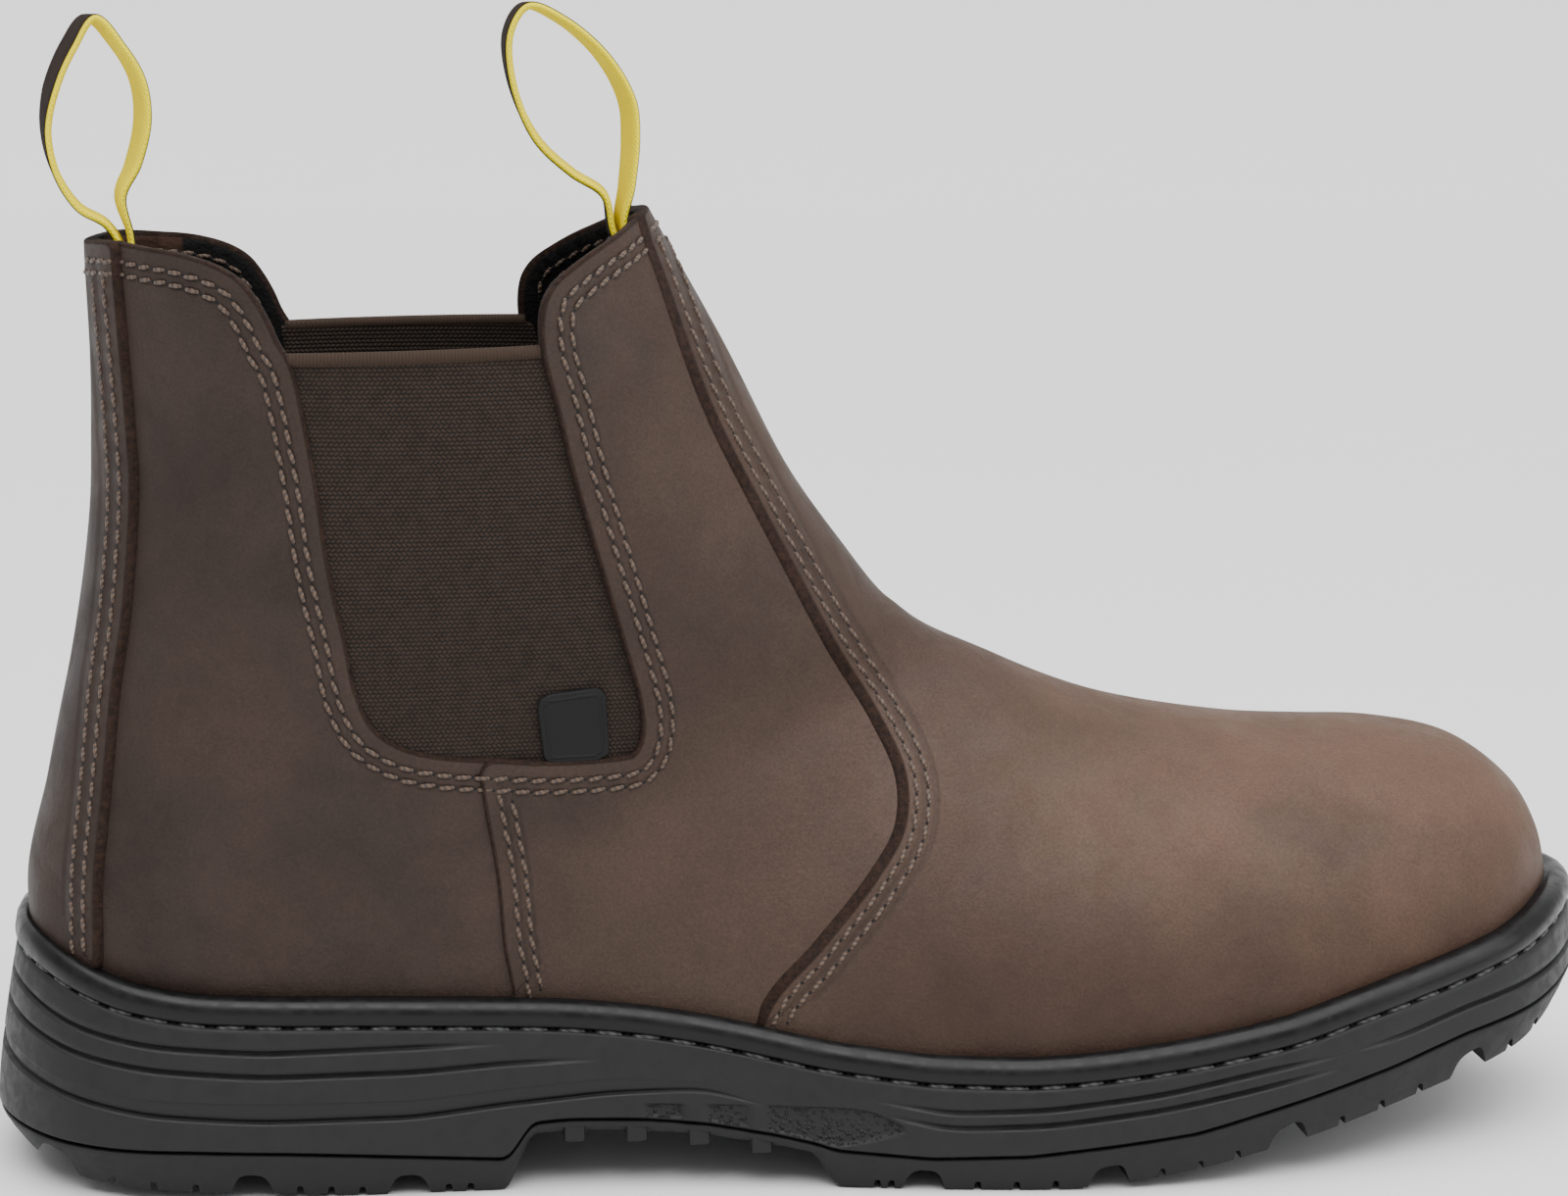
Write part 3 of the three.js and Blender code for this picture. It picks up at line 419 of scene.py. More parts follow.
class Outline:
    """A line of the side view with a region on one side of it; far closes the region's ring."""

    def __init__(self, line, far):
        self.line = line
        self.ring = np.vstack([line, np.array(far, float).reshape(-1, 2)])

    def inside(self, x, z):
        a = self.ring
        b = np.roll(self.ring, -1, axis=0)
        odd = np.zeros(x.shape, bool)
        for (ax, az), (bx, bz) in zip(a, b):
            if az == bz:
                continue
            crosses = ((az > z) != (bz > z)) & (x < (bx - ax) * (z - az) / (bz - az) + ax)
            odd ^= crosses
        return odd

    def distance(self, x, z):
        """Millimetres from the line, positive inside the region."""
        best = np.full(x.shape, 1e9)
        for (ax, az), (bx, bz) in zip(self.line[:-1], self.line[1:]):
            dx, dz = bx - ax, bz - az
            t = np.clip(((x - ax) * dx + (z - az) * dz) / (dx * dx + dz * dz), 0, 1)
            best = np.minimum(best, (x - ax - t * dx) ** 2 + (z - az - t * dz) ** 2)
        best = np.sqrt(best)
        return np.where(self.inside(x, z), best, -best)


OPENING_LINE = smooth_line(REAR_COLLAR + GORE_WINDOW + FRONT_COLLAR, 1.2)
OPENING = Outline(
    OPENING_LINE,
    [[FAR, OPENING_LINE[-1, 1]], [FAR, -FAR], [-FAR, -FAR], [-FAR, OPENING_LINE[0, 1]]],
)
VAMP = Outline(smooth_line(VAMP_EDGE), [[FAR, -FAR], [FAR, FAR]])
BEFORE_VAMP = Outline(smooth_line(VAMP_EDGE), [[-FAR, -FAR], [-FAR, FAR]])
STRIP = Outline(smooth_line(HEEL_STRIP_EDGE), [[-FAR, -FAR], [-FAR, FAR]])
AHEAD_OF_STRIP = Outline(smooth_line(HEEL_STRIP_EDGE), [[FAR, -FAR], [FAR, FAR]])
SEAM = Outline(smooth_line(SIDE_SEAM), [[FAR, -FAR], [FAR, FAR]])
BEHIND_SEAM = Outline(smooth_line(SIDE_SEAM), [[-FAR, -FAR], [-FAR, FAR]])
WINDOW = Outline(smooth_line([[0.17, 0.9]] + GORE_WINDOW + [[0.324, 0.9]]), [])
TAB = Outline(
    np.array([[along_last(x), above_rim(z)] for x, z in TAB_OUTLINE + TAB_OUTLINE[:1]], float), []
)


# Meshes
def add_mesh(name, points, faces, material, smooth=True, floats=None, uv=None):
    """A piece at the origin, its points in millimetres of the part's source."""
    mesh = bpy.data.meshes.new(name)
    placed = (np.asarray(points, float) + STAND) * MM
    flat = np.concatenate([np.asarray(f, np.int64).reshape(-1) for f in faces])
    sizes = np.concatenate([np.full(len(f), np.asarray(f).shape[1]) for f in faces if len(f)])
    mesh.vertices.add(len(placed))
    mesh.vertices.foreach_set("co", placed.astype(np.float32).ravel())
    mesh.loops.add(len(flat))
    mesh.loops.foreach_set("vertex_index", flat.astype(np.int32))
    mesh.polygons.add(len(sizes))
    starts = np.concatenate([[0], np.cumsum(sizes)[:-1]])
    mesh.polygons.foreach_set("loop_start", starts.astype(np.int32))
    mesh.polygons.foreach_set("loop_total", sizes.astype(np.int32))
    mesh.polygons.foreach_set("use_smooth", np.full(len(sizes), smooth))
    mesh.update(calc_edges=True)
    mesh.validate()
    for key, values in (floats or {}).items():
        layer = mesh.attributes.new(key, "FLOAT", "POINT")
        layer.data.foreach_set("value", np.asarray(values, np.float32))
    if uv is not None:
        layer = mesh.uv_layers.new(name="surface")
        layer.data.foreach_set("uv", np.asarray(uv, np.float32)[flat].ravel())
    piece = bpy.data.objects.new(name, mesh)
    bpy.context.scene.collection.objects.link(piece)
    if material is not None:
        mesh.materials.append(material)
    return piece


def settle(piece, slot, *nodes):
    """Hangs the piece under the root's empty and hides the part's solids that it replaces, once its mesh is
    final.
    """
    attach(piece, "root")
    if nodes:
        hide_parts(*nodes)
    return piece


def volume_of(points, faces):
    total = 0.0
    for f in faces:
        f = np.asarray(f)
        if not len(f):
            continue
        for k in range(1, f.shape[1] - 1):
            a, b, c = points[f[:, 0]], points[f[:, k]], points[f[:, k + 1]]
            total += np.einsum("ij,ij->i", a, np.cross(b, c)).sum() / 6
    return total


def faced_out(points, faces):
    """The same faces, turned so that the closed body they make has its outside outwards."""
    if volume_of(points, faces) < 0:
        return [np.asarray(f)[:, ::-1] for f in faces]
    return faces


def stack_rings(rings, closed=False):
    """Quads between rings with the same count, each ring closed; closed joins last to first."""
    count = len(rings[0])
    points = np.concatenate(rings)
    i = np.arange(count)
    j = (i + 1) % count
    quads = []
    pairs = len(rings) if closed else len(rings) - 1
    for r in range(pairs):
        near, far = r * count, ((r + 1) % len(rings)) * count
        quads.append(np.stack([near + i, near + j, far + j, far + i], -1))
    return points, np.concatenate(quads)


def ladder(count, start):
    """A cap for a sole ring, whose two sides have the same number of points."""
    half = count // 2
    tris = [[start, start + 1, start + count - 1], [start + half - 1, start + half, start + half + 1]]
    i = np.arange(1, half - 1)
    quads = np.stack([start + i, start + i + 1, start + count - i - 1, start + count - i], -1)
    return np.array(tris), quads


def sole_solid(rings):
    points, quads = stack_rings(rings)
    count = len(rings[0])
    low_tris, low_quads = ladder(count, 0)
    high_tris, high_quads = ladder(count, (len(rings) - 1) * count)
    faces = [
        np.concatenate([quads, low_quads[:, ::-1], high_quads]),
        np.concatenate([low_tris[:, ::-1], high_tris]),
    ]
    return points, faced_out(points, faces)


# The surface of the last as a fine net
TURN_STEPS = 300


def net_places():
    """Places spaced evenly by the widest step that any part of the section takes."""
    fine = np.linspace(0, LAST_PLACE, 1600)
    turns = np.linspace(0, 2 * math.pi, 16, endpoint=False)
    points = last_point(fine[:, None], turns[None, :])
    steps = np.linalg.norm(np.diff(points, axis=0), axis=-1)
    seen = points[:-1, :, 2] > rim_z(points[:-1, :, 0]) - 8
    widest = np.where(seen, steps, steps * 0.3).max(axis=1)
    run = np.concatenate([[0], np.cumsum(widest)])
    count = int(run[-1] / 1.15)
    return np.interp(np.linspace(0, run[-1], count), run, fine)


NET_PLACES = net_places()
NET_TURNS = np.linspace(0, 2 * math.pi, TURN_STEPS + 1)


def blurred(values, rounds):
    for _ in range(rounds):
        values = (np.roll(values, 1, axis=0) + 2 * values + np.roll(values, -1, axis=0)) / 4
    return values


def cut_sheet(offset, back, distance, edges, stride=1):
    """A closed sheet of the upper: the part of the net where every distance is positive.

    distance(x, y, z) gives a list of signed distances; edges gives for each of them the profile
    that its edge runs out in, as pairs of how far out and how far down. A stride above 1 takes
    a coarser net, for a face that is seen only inside the boot.
    """
    net_rows, net_turns = NET_PLACES[::stride], NET_TURNS[::stride]
    place, turn = np.meshgrid(net_rows, net_turns[:-1], indexing="ij")
    rows, columns = place.shape
    points, normals = face_point(place, turn, np.full(place.shape, -float(offset)))

    def signed(p):
        return np.stack(distance(p[..., 0], p[..., 1], p[..., 2]))

    field = signed(points)
    least = field.min(axis=0)
    keep = least > 0
    index = -np.ones(place.shape, int)
    index[keep] = np.arange(keep.sum())
    made_place = list(place[keep])
    made_turn = list(turn[keep])
    step = net_turns[1]
    crossing = {}

    def cross(a, b):
        key = (min(a[0], b[0]), min(a[1], b[1]) % columns, a[0] != b[0], a[1] != b[1])
        if key not in crossing:
            da = least[a[0], a[1] % columns]
            db = least[b[0], b[1] % columns]
            t = min(max(da / (da - db), 0.0), 1.0)
            made_place.append(net_rows[a[0]] + (net_rows[b[0]] - net_rows[a[0]]) * t)
            made_turn.append((a[1] + (b[1] - a[1]) * t) * step)
            crossing[key] = len(made_place) - 1
        return crossing[key]

    right = np.roll(keep, -1, axis=1)
    count = keep[:-1].astype(int) + keep[1:] + right[:-1] + right[1:]
    r, c = np.nonzero(count == 4)
    d = (c + 1) % columns
    quads = np.stack([index[r, c], index[r, d], index[r + 1, d], index[r + 1, c]], -1)
    odd = []
    for r0, c0 in zip(*np.nonzero((count > 0) & (count < 4))):
        corners = [(r0, c0), (r0, c0 + 1), (r0 + 1, c0 + 1), (r0 + 1, c0)]
        ring = []
        for k in range(4):
            a, b = corners[k], corners[(k + 1) % 4]
            in_a, in_b = keep[a[0], a[1] % columns], keep[b[0], b[1] % columns]
            if in_a:
                ring.append(index[a[0], a[1] % columns])
            if in_a != in_b:
                ring.append(cross(a, b))
        if len(ring) >= 3:
            odd.append(ring)
    made_place = np.array(made_place)
    made_turn = np.array(made_turn)
    points, normals = face_point(made_place, made_turn, np.full(len(made_place), -float(offset)))
    tris = [[ring[0], ring[k], ring[k + 1]] for ring in odd for k in range(1, len(ring) - 1)]
    tris = np.array(tris, int).reshape(-1, 3)
    first = points[quads[0]]
    facing = np.dot(np.cross(first[1] - first[0], first[2] - first[0]), normals[quads[0][0]])
    if facing < 0:
        quads, tris = quads[:, ::-1], tris[:, ::-1]
    return edge_walls(points, normals, quads, tris, offset, back, signed, edges)


def edge_walls(points, normals, quads, tris, offset, back, signed, edges):
    """Adds the rounded edge and the back of a sheet, and says how far each point is from an edge."""
    half = {}
    for f in quads.tolist() + tris.tolist():
        for a, b in zip(f, f[1:] + f[:1]):
            half[(a, b)] = True
    follow = {a: b for (a, b) in half if (b, a) not in half}
    field = signed(points)
    reach = np.clip(field.min(axis=0), 0, 40)
    kind = np.argmin(field, axis=0)
    count = len(points)
    all_points = [points]
    reaches = [reach]
    kinds = [kind.astype(float)]
    made_quads = [quads]
    thickness = back - offset
    under = points - normals * thickness
    steps = len(edges[0])
    seen = set()
    start = count
    last_row = {}
    for first in list(follow):
        if first in seen:
            continue
        loop = []
        at = first
        while at not in seen and at in follow:
            seen.add(at)
            loop.append(at)
            at = follow[at]
        if len(loop) < 3:
            continue
        ids = np.array(loop)
        p, n = points[ids], normals[ids]
        run = np.roll(p, -1, axis=0) - np.roll(p, 1, axis=0)
        out = blurred(np.cross(run, n), 3)
        out /= np.maximum(np.linalg.norm(out, axis=1, keepdims=True), 1e-9)
        profile = np.array([edges[k] for k in kind[ids]], float)
        profile = blurred(profile, 3)
        previous = ids
        length = np.zeros(len(ids))
        before = np.zeros((len(ids), 2))
        for s in range(steps):
            here = profile[:, s]
            row = p + out * here[:, :1] - n * here[:, 1:]
            length = length + np.linalg.norm(here - before, axis=1)
            before = here
            new = start + np.arange(len(ids))
            start += len(ids)
            all_points.append(row)
            reaches.append(-length)
            kinds.append(kind[ids].astype(float))
            near, far = previous, new
            made_quads.append(np.stack([np.roll(near, -1), near, far, np.roll(far, -1)], -1))
            previous = new
        for a, b in zip(loop, previous):
            last_row[a] = b
    ground = np.arange(count) + start
    for a, b in last_row.items():
        ground[a] = b
    all_points.append(under)
    reaches.append(np.full(count, -20.0))
    kinds.append(kind.astype(float))
    made_quads.append(ground[quads][:, ::-1])
    back_tris = ground[tris][:, ::-1]
    points = np.concatenate(all_points)
    used = np.zeros(len(points), bool)
    faces = [np.concatenate(made_quads), np.concatenate([tris, back_tris])]
    for f in faces:
        used[f.ravel()] = True
    renumber = np.cumsum(used) - 1
    faces = [renumber[f] for f in faces]
    return points[used], faces, np.concatenate(reaches)[used], np.concatenate(kinds)[used]


def round_edge(drop):
    """A cut edge with its corner rounded, that then goes straight down by drop."""
    return [[0.22, 0.04], [0.4, 0.15], [0.5, 0.38], [0.5, 0.5 * drop], [0.46, drop]]


def long_bevel(width, fall, drop):
    """A thick raw edge that faces outwards, then goes down by drop."""
    middle = [0.5 + 0.5 * width, 0.14 + 0.5 * fall]
    return [[0.2, 0.03], [0.42, 0.14], middle, [0.5 + width, 0.14 + fall], [0.5 + width, drop]]


# Shader parts that several finishes share
def group_of(name, inputs, outputs):
    tree = bpy.data.node_groups.new(name, "ShaderNodeTree")
    for label, kind, default in inputs:
        socket = tree.interface.new_socket(name=label, in_out="INPUT", socket_type=kind)
        if default is not None:
            socket.default_value = default
    for label, kind in outputs:
        tree.interface.new_socket(name=label, in_out="OUTPUT", socket_type=kind)
    return tree, tree.nodes.new("NodeGroupInput"), tree.nodes.new("NodeGroupOutput")


class Wires:
    """Short ways to add nodes to a tree and join them."""

    def __init__(self, tree):
        self.tree = tree

    def node(self, kind, inputs=None, **settings):
        made = self.tree.nodes.new(kind)
        for key, value in settings.items():
            setattr(made, key, value)
        for key, value in (inputs or {}).items():
            self.join(value, made.inputs[key])
        return made

    def join(self, value, socket):
        if isinstance(value, bpy.types.NodeSocket):
            self.tree.links.new(value, socket)
        else:
            socket.default_value = value

    def math(self, operation, a, b=None, c=None, clamp=False):
        inputs = {0: a}
        if b is not None:
            inputs[1] = b
        if c is not None:
            inputs[2] = c
        return self.node("ShaderNodeMath", inputs, operation=operation, use_clamp=clamp).outputs[0]

    def ramp(self, value, low, high, to_low=0.0, to_high=1.0):
        inputs = {"Value": value, "From Min": low, "From Max": high, "To Min": to_low, "To Max": to_high}
        return self.node("ShaderNodeMapRange", inputs, interpolation_type="SMOOTHSTEP").outputs["Result"]

    def mix(self, factor, a, b, blend="MIX"):
        made = self.node("ShaderNodeMix", data_type="RGBA", blend_type=blend, clamp_factor=True)
        self.join(factor, made.inputs[0])
        self.join(a, made.inputs[6])
        self.join(b, made.inputs[7])
        return made.outputs[2]

    def noise(self, vector, scale, detail=2.0, rough=0.5, distort=0.0):
        inputs = {"Vector": vector, "Scale": scale, "Detail": detail}
        inputs |= {"Roughness": rough, "Distortion": distort}
        return self.node("ShaderNodeTexNoise", inputs).outputs["Fac"]

    def cells(self, vector, scale, feature="F1"):
        inputs = {"Vector": vector, "Scale": scale}
        return self.node("ShaderNodeTexVoronoi", inputs, feature=feature).outputs["Distance"]

    def bump(self, height, distance, normal=None):
        inputs = {"Height": height, "Distance": distance, "Strength": 1.0}
        if normal is not None:
            inputs["Normal"] = normal
        return self.node("ShaderNodeBump", inputs).outputs["Normal"]

    def place(self):
        return self.node("ShaderNodeTexCoord").outputs["Object"]

    def attribute(self, name):
        return self.node("ShaderNodeAttribute", attribute_type="GEOMETRY", attribute_name=name).outputs["Fac"]


def finish(name, **constants):
    """A new material with its principled shader, whose constants are set on its own sockets."""
    material = bpy.data.materials.new(name)
    material.use_nodes = True
    tree = material.node_tree
    shader = next(n for n in tree.nodes if n.type == "BSDF_PRINCIPLED")
    for key, value in constants.items():
        shader.inputs[key.replace("_", " ").title().replace("Ior", "IOR")].default_value = value
    return material, Wires(tree), shader


def grain_group():
    """Fine nap and pores of oiled leather."""
    tree, given, made = group_of(
        "leather_grain",
        [
            ("Vector", "NodeSocketVector", None),
            ("Pores", "NodeSocketFloat", 0.5),
            ("Nap", "NodeSocketFloat", 0.5),
        ],
        [("Height", "NodeSocketFloat"), ("Speckle", "NodeSocketFloat")],
    )
    w = Wires(tree)
    vector = given.outputs["Vector"]
    pores = w.cells(vector, 1500.0)
    nap = w.noise(vector, 2600.0, 3.0, 0.6)
    coarse = w.noise(vector, 620.0, 3.0, 0.55)
    pores = w.math("MULTIPLY", pores, given.outputs["Pores"])
    nap = w.math("MULTIPLY", nap, given.outputs["Nap"])
    height = w.math("ADD", pores, nap)
    height = w.math("ADD", height, w.math("MULTIPLY", coarse, 0.6))
    w.join(height, made.inputs["Height"])
    w.join(w.noise(vector, 1900.0, 2.0, 0.7), made.inputs["Speckle"])
    return tree


def cloud_group():
    """Soft patches at two sizes, for the pull-up marks of oiled leather and for dust."""
    tree, given, made = group_of(
        "soft_patches",
        [("Vector", "NodeSocketVector", None), ("Size", "NodeSocketFloat", 30.0)],
        [("Broad", "NodeSocketFloat"), ("Fine", "NodeSocketFloat")],
    )
    w = Wires(tree)
    vector = given.outputs["Vector"]
    size = given.outputs["Size"]
    broad = w.noise(vector, size, 2.0, 0.5, 0.3)
    fine = w.noise(vector, w.math("MULTIPLY", size, 5.0), 4.0, 0.62, 0.4)
    w.join(w.ramp(broad, 0.32, 0.68), made.inputs["Broad"])
    w.join(w.ramp(fine, 0.3, 0.72), made.inputs["Fine"])
    return tree


GRAIN = grain_group()
CLOUDS = cloud_group()


def use_group(w, tree, inputs):
    made = w.node("ShaderNodeGroup", node_tree=tree)
    for key, value in inputs.items():
        w.join(value, made.inputs[key])
    return made.outputs


def leather_finish(colours):
    material, w, shader = finish("oiled_nubuck", specular_ior_level=0.22)
    place = w.place()
    axes = w.node("ShaderNodeSeparateXYZ", {"Vector": place}).outputs
    rim = w.attribute("rim")
    patches = use_group(w, CLOUDS, {"Vector": place, "Size": 20.0})
    scuffs = use_group(w, CLOUDS, {"Vector": place, "Size": 42.0})
    grain = use_group(w, GRAIN, {"Vector": place, "Pores": 0.5, "Nap": 0.5})
    # Lighter toward the toe: partly the leather's own lighter toe, partly a painted highlight over the toe
    # and instep
    toe_tone_and_highlight = w.ramp(axes["X"], -0.03, 0.11)
    base = w.mix(w.ramp(axes["X"], -0.14, 0.0), colours.heel_leather, colours.leather)
    base = w.mix(w.math("MULTIPLY", toe_tone_and_highlight, 0.85), base, colours.toe_leather_and_highlight)
    base = w.mix(w.math("MULTIPLY", patches["Broad"], 0.6), base, colours.dark_patch_and_shade)
    streaks = w.math("ADD", w.math("MULTIPLY", scuffs["Broad"], 0.7), w.math("MULTIPLY", scuffs["Fine"], 0.3))
    # The scuffed light patches grow toward the toe, as part of that painted highlight
    light = w.math("MULTIPLY", streaks, w.math("ADD", 0.14, w.math("MULTIPLY", toe_tone_and_highlight, 0.34)))
    base = w.mix(light, base, colours.light_patch)
    speckle = w.ramp(grain["Speckle"], 0.25, 0.8, 0.8, 1.2)
    grey = w.node("ShaderNodeCombineXYZ", {0: speckle, 1: speckle, 2: speckle}).outputs[0]
    base = w.mix(1.0, base, grey, "MULTIPLY")
    low = w.math("MULTIPLY", w.ramp(axes["Z"], 0.066, 0.036), w.ramp(axes["X"], -0.02, 0.02))
    base = w.mix(w.math("MULTIPLY", low, 0.4), base, colours.raw_edge)
    # The cut edge is rough and redder; the stitched borders are pressed into grooves, and painted shade
    # darkens them
    raw = w.ramp(rim, 0.35, -0.15)
    fibre = w.noise(place, 900.0, 4.0, 0.75)
    raw_colour = w.mix(w.ramp(fibre, 0.3, 0.7), colours.raw_dark, colours.raw_edge)
    base = w.mix(raw, base, raw_colour)
    row_a = w.ramp(w.math("ABSOLUTE", w.math("SUBTRACT", rim, 3.0)), 0.9, 0.0)
    row_b = w.ramp(w.math("ABSOLUTE", w.math("SUBTRACT", rim, 5.2)), 0.9, 0.0)
    groove_and_shade = w.math("MAXIMUM", row_a, row_b)
    # Painted shade in the stitch grooves
    base = w.mix(w.math("MULTIPLY", groove_and_shade, 0.3), base, colours.dark_patch_and_shade)
    w.join(base, shader.inputs["Base Color"])
    rough = w.math("ADD", w.ramp(patches["Fine"], 0.0, 1.0, 0.55, 0.68), w.math("MULTIPLY", raw, 0.25))
    w.join(rough, shader.inputs["Roughness"])
    small = w.bump(grain["Height"], 0.00008)
    tall = w.math("SUBTRACT", w.math("MULTIPLY", patches["Fine"], 0.5), groove_and_shade)
    tall = w.math("ADD", tall, w.math("MULTIPLY", raw, w.math("MULTIPLY", fibre, 2.2)))
    w.join(w.bump(tall, 0.00022, small), shader.inputs["Normal"])
    return material


def lining_finish(colours):
    material, w, shader = finish("lining_cloth", roughness=0.92, specular_ior_level=0.2)
    place = w.place()
    mesh = w.cells(place, 1400.0)
    tone = w.mix(w.ramp(mesh, 0.0, 0.6), colours.lining, tuple(c * 0.45 for c in colours.lining[:3]) + (1.0,))
    axes = w.node("ShaderNodeSeparateXYZ", {"Vector": place}).outputs
    patch = w.math("MULTIPLY", w.ramp(axes["X"], -0.1165, -0.1172), w.ramp(axes["Z"], 0.1500, 0.1505))
    tone = w.mix(patch, tone, colours.raw_edge)
    w.join(tone, shader.inputs["Base Color"])
    w.join(w.bump(mesh, 0.0002), shader.inputs["Normal"])
    return material


def elastic_finish(colours):
    """Knit of small slanted loops in columns; the corded top has a finish of its own."""
    material, w, shader = finish("woven_elastic", roughness=0.95, specular_ior_level=0.2, sheen_weight=0.08)
    place = w.place()
    axes = w.node("ShaderNodeSeparateXYZ", {"Vector": place}).outputs
    across = w.math("MULTIPLY", axes["X"], 1000 / 0.92)
    up = w.math("MULTIPLY", axes["Z"], 1000 / 0.78)
    row = w.math("FLOOR", up)
    odd = w.math("MODULO", w.math("ABSOLUTE", row), 2.0)
    in_row = w.math("FRACT", up)
    lean = w.math("SUBTRACT", w.math("MULTIPLY", odd, 0.9), 0.45)
    slant = w.math("MULTIPLY", w.math("SUBTRACT", in_row, 0.5), lean)
    shifted = w.math("ADD", w.math("ADD", across, w.math("MULTIPLY", odd, 0.5)), slant)
    in_column = w.math("FRACT", shifted)
    wave_a = w.math("SINE", w.math("MULTIPLY", in_row, math.pi))
    wave_b = w.math("SINE", w.math("MULTIPLY", in_column, math.pi))
    loops = w.math("POWER", w.math("MULTIPLY", wave_a, wave_b), 0.6)
    uneven = w.noise(place, 420.0, 3.0, 0.6)
    fibre = w.noise(place, 3200.0, 2.0, 0.7)
    loops = w.math("MULTIPLY", loops, w.ramp(uneven, 0.2, 0.8, 0.65, 1.1))
    height = w.math("ADD", loops, w.math("MULTIPLY", fibre, 0.22))
    tone = w.mix(w.ramp(height, 0.15, 1.0), colours.elastic_dark, colours.elastic)
    w.join(tone, shader.inputs["Base Color"])
    w.join(w.bump(height, 0.00035), shader.inputs["Normal"])
    return material


def cord_finish(colours):
    """Corded selvedge of the elastic: fine upright ribs."""
    material, w, shader = finish("gore_cord", roughness=0.9, specular_ior_level=0.2)
    axes = w.node("ShaderNodeSeparateXYZ", {"Vector": w.place()}).outputs
    rib = w.math("SINE", w.math("MULTIPLY", axes["X"], 2 * math.pi / 0.00062))
    tone = w.mix(w.ramp(rib, -0.9, 0.6), colours.elastic, colours.cord)
    w.join(tone, shader.inputs["Base Color"])
    w.join(w.bump(rib, 0.00008), shader.inputs["Normal"])
    return material


def thread_finish(name, light, dark, gloss=0.55):
    """Twisted thread: the twist follows the stitch's own length and turn."""
    material, w, shader = finish(name, roughness=gloss, sheen_weight=0.1)
    along = w.attribute("stitch_along")
    turn = w.attribute("stitch_turn")
    phase = w.math("ADD", w.math("MULTIPLY", along, 3.4), turn)
    twist = w.math("SINE", w.math("MULTIPLY", phase, 2 * math.pi))
    tone = w.mix(w.ramp(twist, -1.0, 0.7), dark, light)
    w.join(tone, shader.inputs["Base Color"])
    w.join(w.bump(twist, 0.00008), shader.inputs["Normal"])
    return material


def hole_shade_finish(colours):
    # A near-black disc of painted shade, standing for the inside of a needle hole
    material, w, shader = finish("needle_hole_shade", roughness=0.95)
    tone = w.mix(w.noise(w.place(), 800.0), (0.004, 0.003, 0.003, 1.0), colours.dark_patch_and_shade)
    w.join(w.mix(0.75, tone, (0.004, 0.003, 0.003, 1.0)), shader.inputs["Base Color"])
    return material


def rubber_finish(name, colour, gloss, mould):
    """Moulded rubber: a fine matt skin, faint marks of the mould and a little dust."""
    material, w, shader = finish(name, roughness=gloss, specular_ior_level=0.25)
    place = w.place()
    dust = use_group(w, CLOUDS, {"Vector": place, "Size": 60.0})
    skin = w.noise(place, 1500.0, 3.0, 0.65)
    dusty = tuple(c * 1.7 + 0.004 for c in colour[:3]) + (1.0,)
    tone = w.mix(w.math("MULTIPLY", dust["Fine"], 0.35), colour, dusty)
    w.join(tone, shader.inputs["Base Color"])
    rough = w.ramp(dust["Fine"], 0.0, 1.0, gloss - 0.06, gloss + 0.1)
    rough = w.math("ADD", rough, w.math("MULTIPLY", skin, 0.05))
    w.join(rough, shader.inputs["Roughness"])
    normal = w.bump(skin, mould)
    pebble = w.attribute("pebble")
    cells = w.ramp(w.cells(place, 1250.0), 0.55, 0.1)
    normal = w.bump(w.math("MULTIPLY", cells, pebble), 0.0003, normal)
    w.join(normal, shader.inputs["Normal"])
    return material


def webbing_finish(colours):
    """Woven band: ribs across it, yellow, with a brown face on its outer side."""
    material, w, shader = finish("loop_webbing", roughness=0.9, specular_ior_level=0.1)
    spot = w.node("ShaderNodeUVMap", uv_map="surface").outputs["UV"]
    axes = w.node("ShaderNodeSeparateXYZ", {"Vector": spot}).outputs
    rib = w.math("SINE", w.math("MULTIPLY", axes["Y"], 2 * math.pi / 0.9))
    warp = w.math("SINE", w.math("MULTIPLY", axes["X"], 2 * math.pi / 0.75))
    weave = w.math("ADD", w.math("MULTIPLY", w.math("MULTIPLY", rib, warp), 0.5), 0.5)
    yellow = w.mix(w.ramp(weave, 0.0, 0.5), colours.webbing_dark, colours.webbing)
    gaps = tuple(c * 0.5 for c in colours.webbing_brown[:3]) + (1.0,)
    brown = w.mix(w.ramp(weave, 0.0, 0.6), gaps, colours.webbing_brown)
    face = w.attribute("brown_face")
    w.join(w.mix(w.ramp(face, 0.35, 0.65), yellow, brown), shader.inputs["Base Color"])
    w.join(w.bump(weave, 0.00018), shader.inputs["Normal"])
    return material


def tab_finish(colours):
    material, w, shader = finish("tab_rubber", roughness=0.7, specular_ior_level=0.25)
    place = w.place()
    rim = w.attribute("rim")
    frame_ = w.math("MULTIPLY", w.ramp(rim, 0.3, 0.6), w.ramp(rim, 1.1, 0.8))
    skin = w.noise(place, 1300.0, 3.0, 0.7)
    tone = w.mix(w.math("MULTIPLY", skin, 0.5), colours.tab, tuple(c * 2.2 for c in colours.tab[:3]) + (1.0,))
    w.join(tone, shader.inputs["Base Color"])
    w.join(w.bump(w.math("ADD", frame_, w.math("MULTIPLY", skin, 0.3)), 0.00015), shader.inputs["Normal"])
    return material


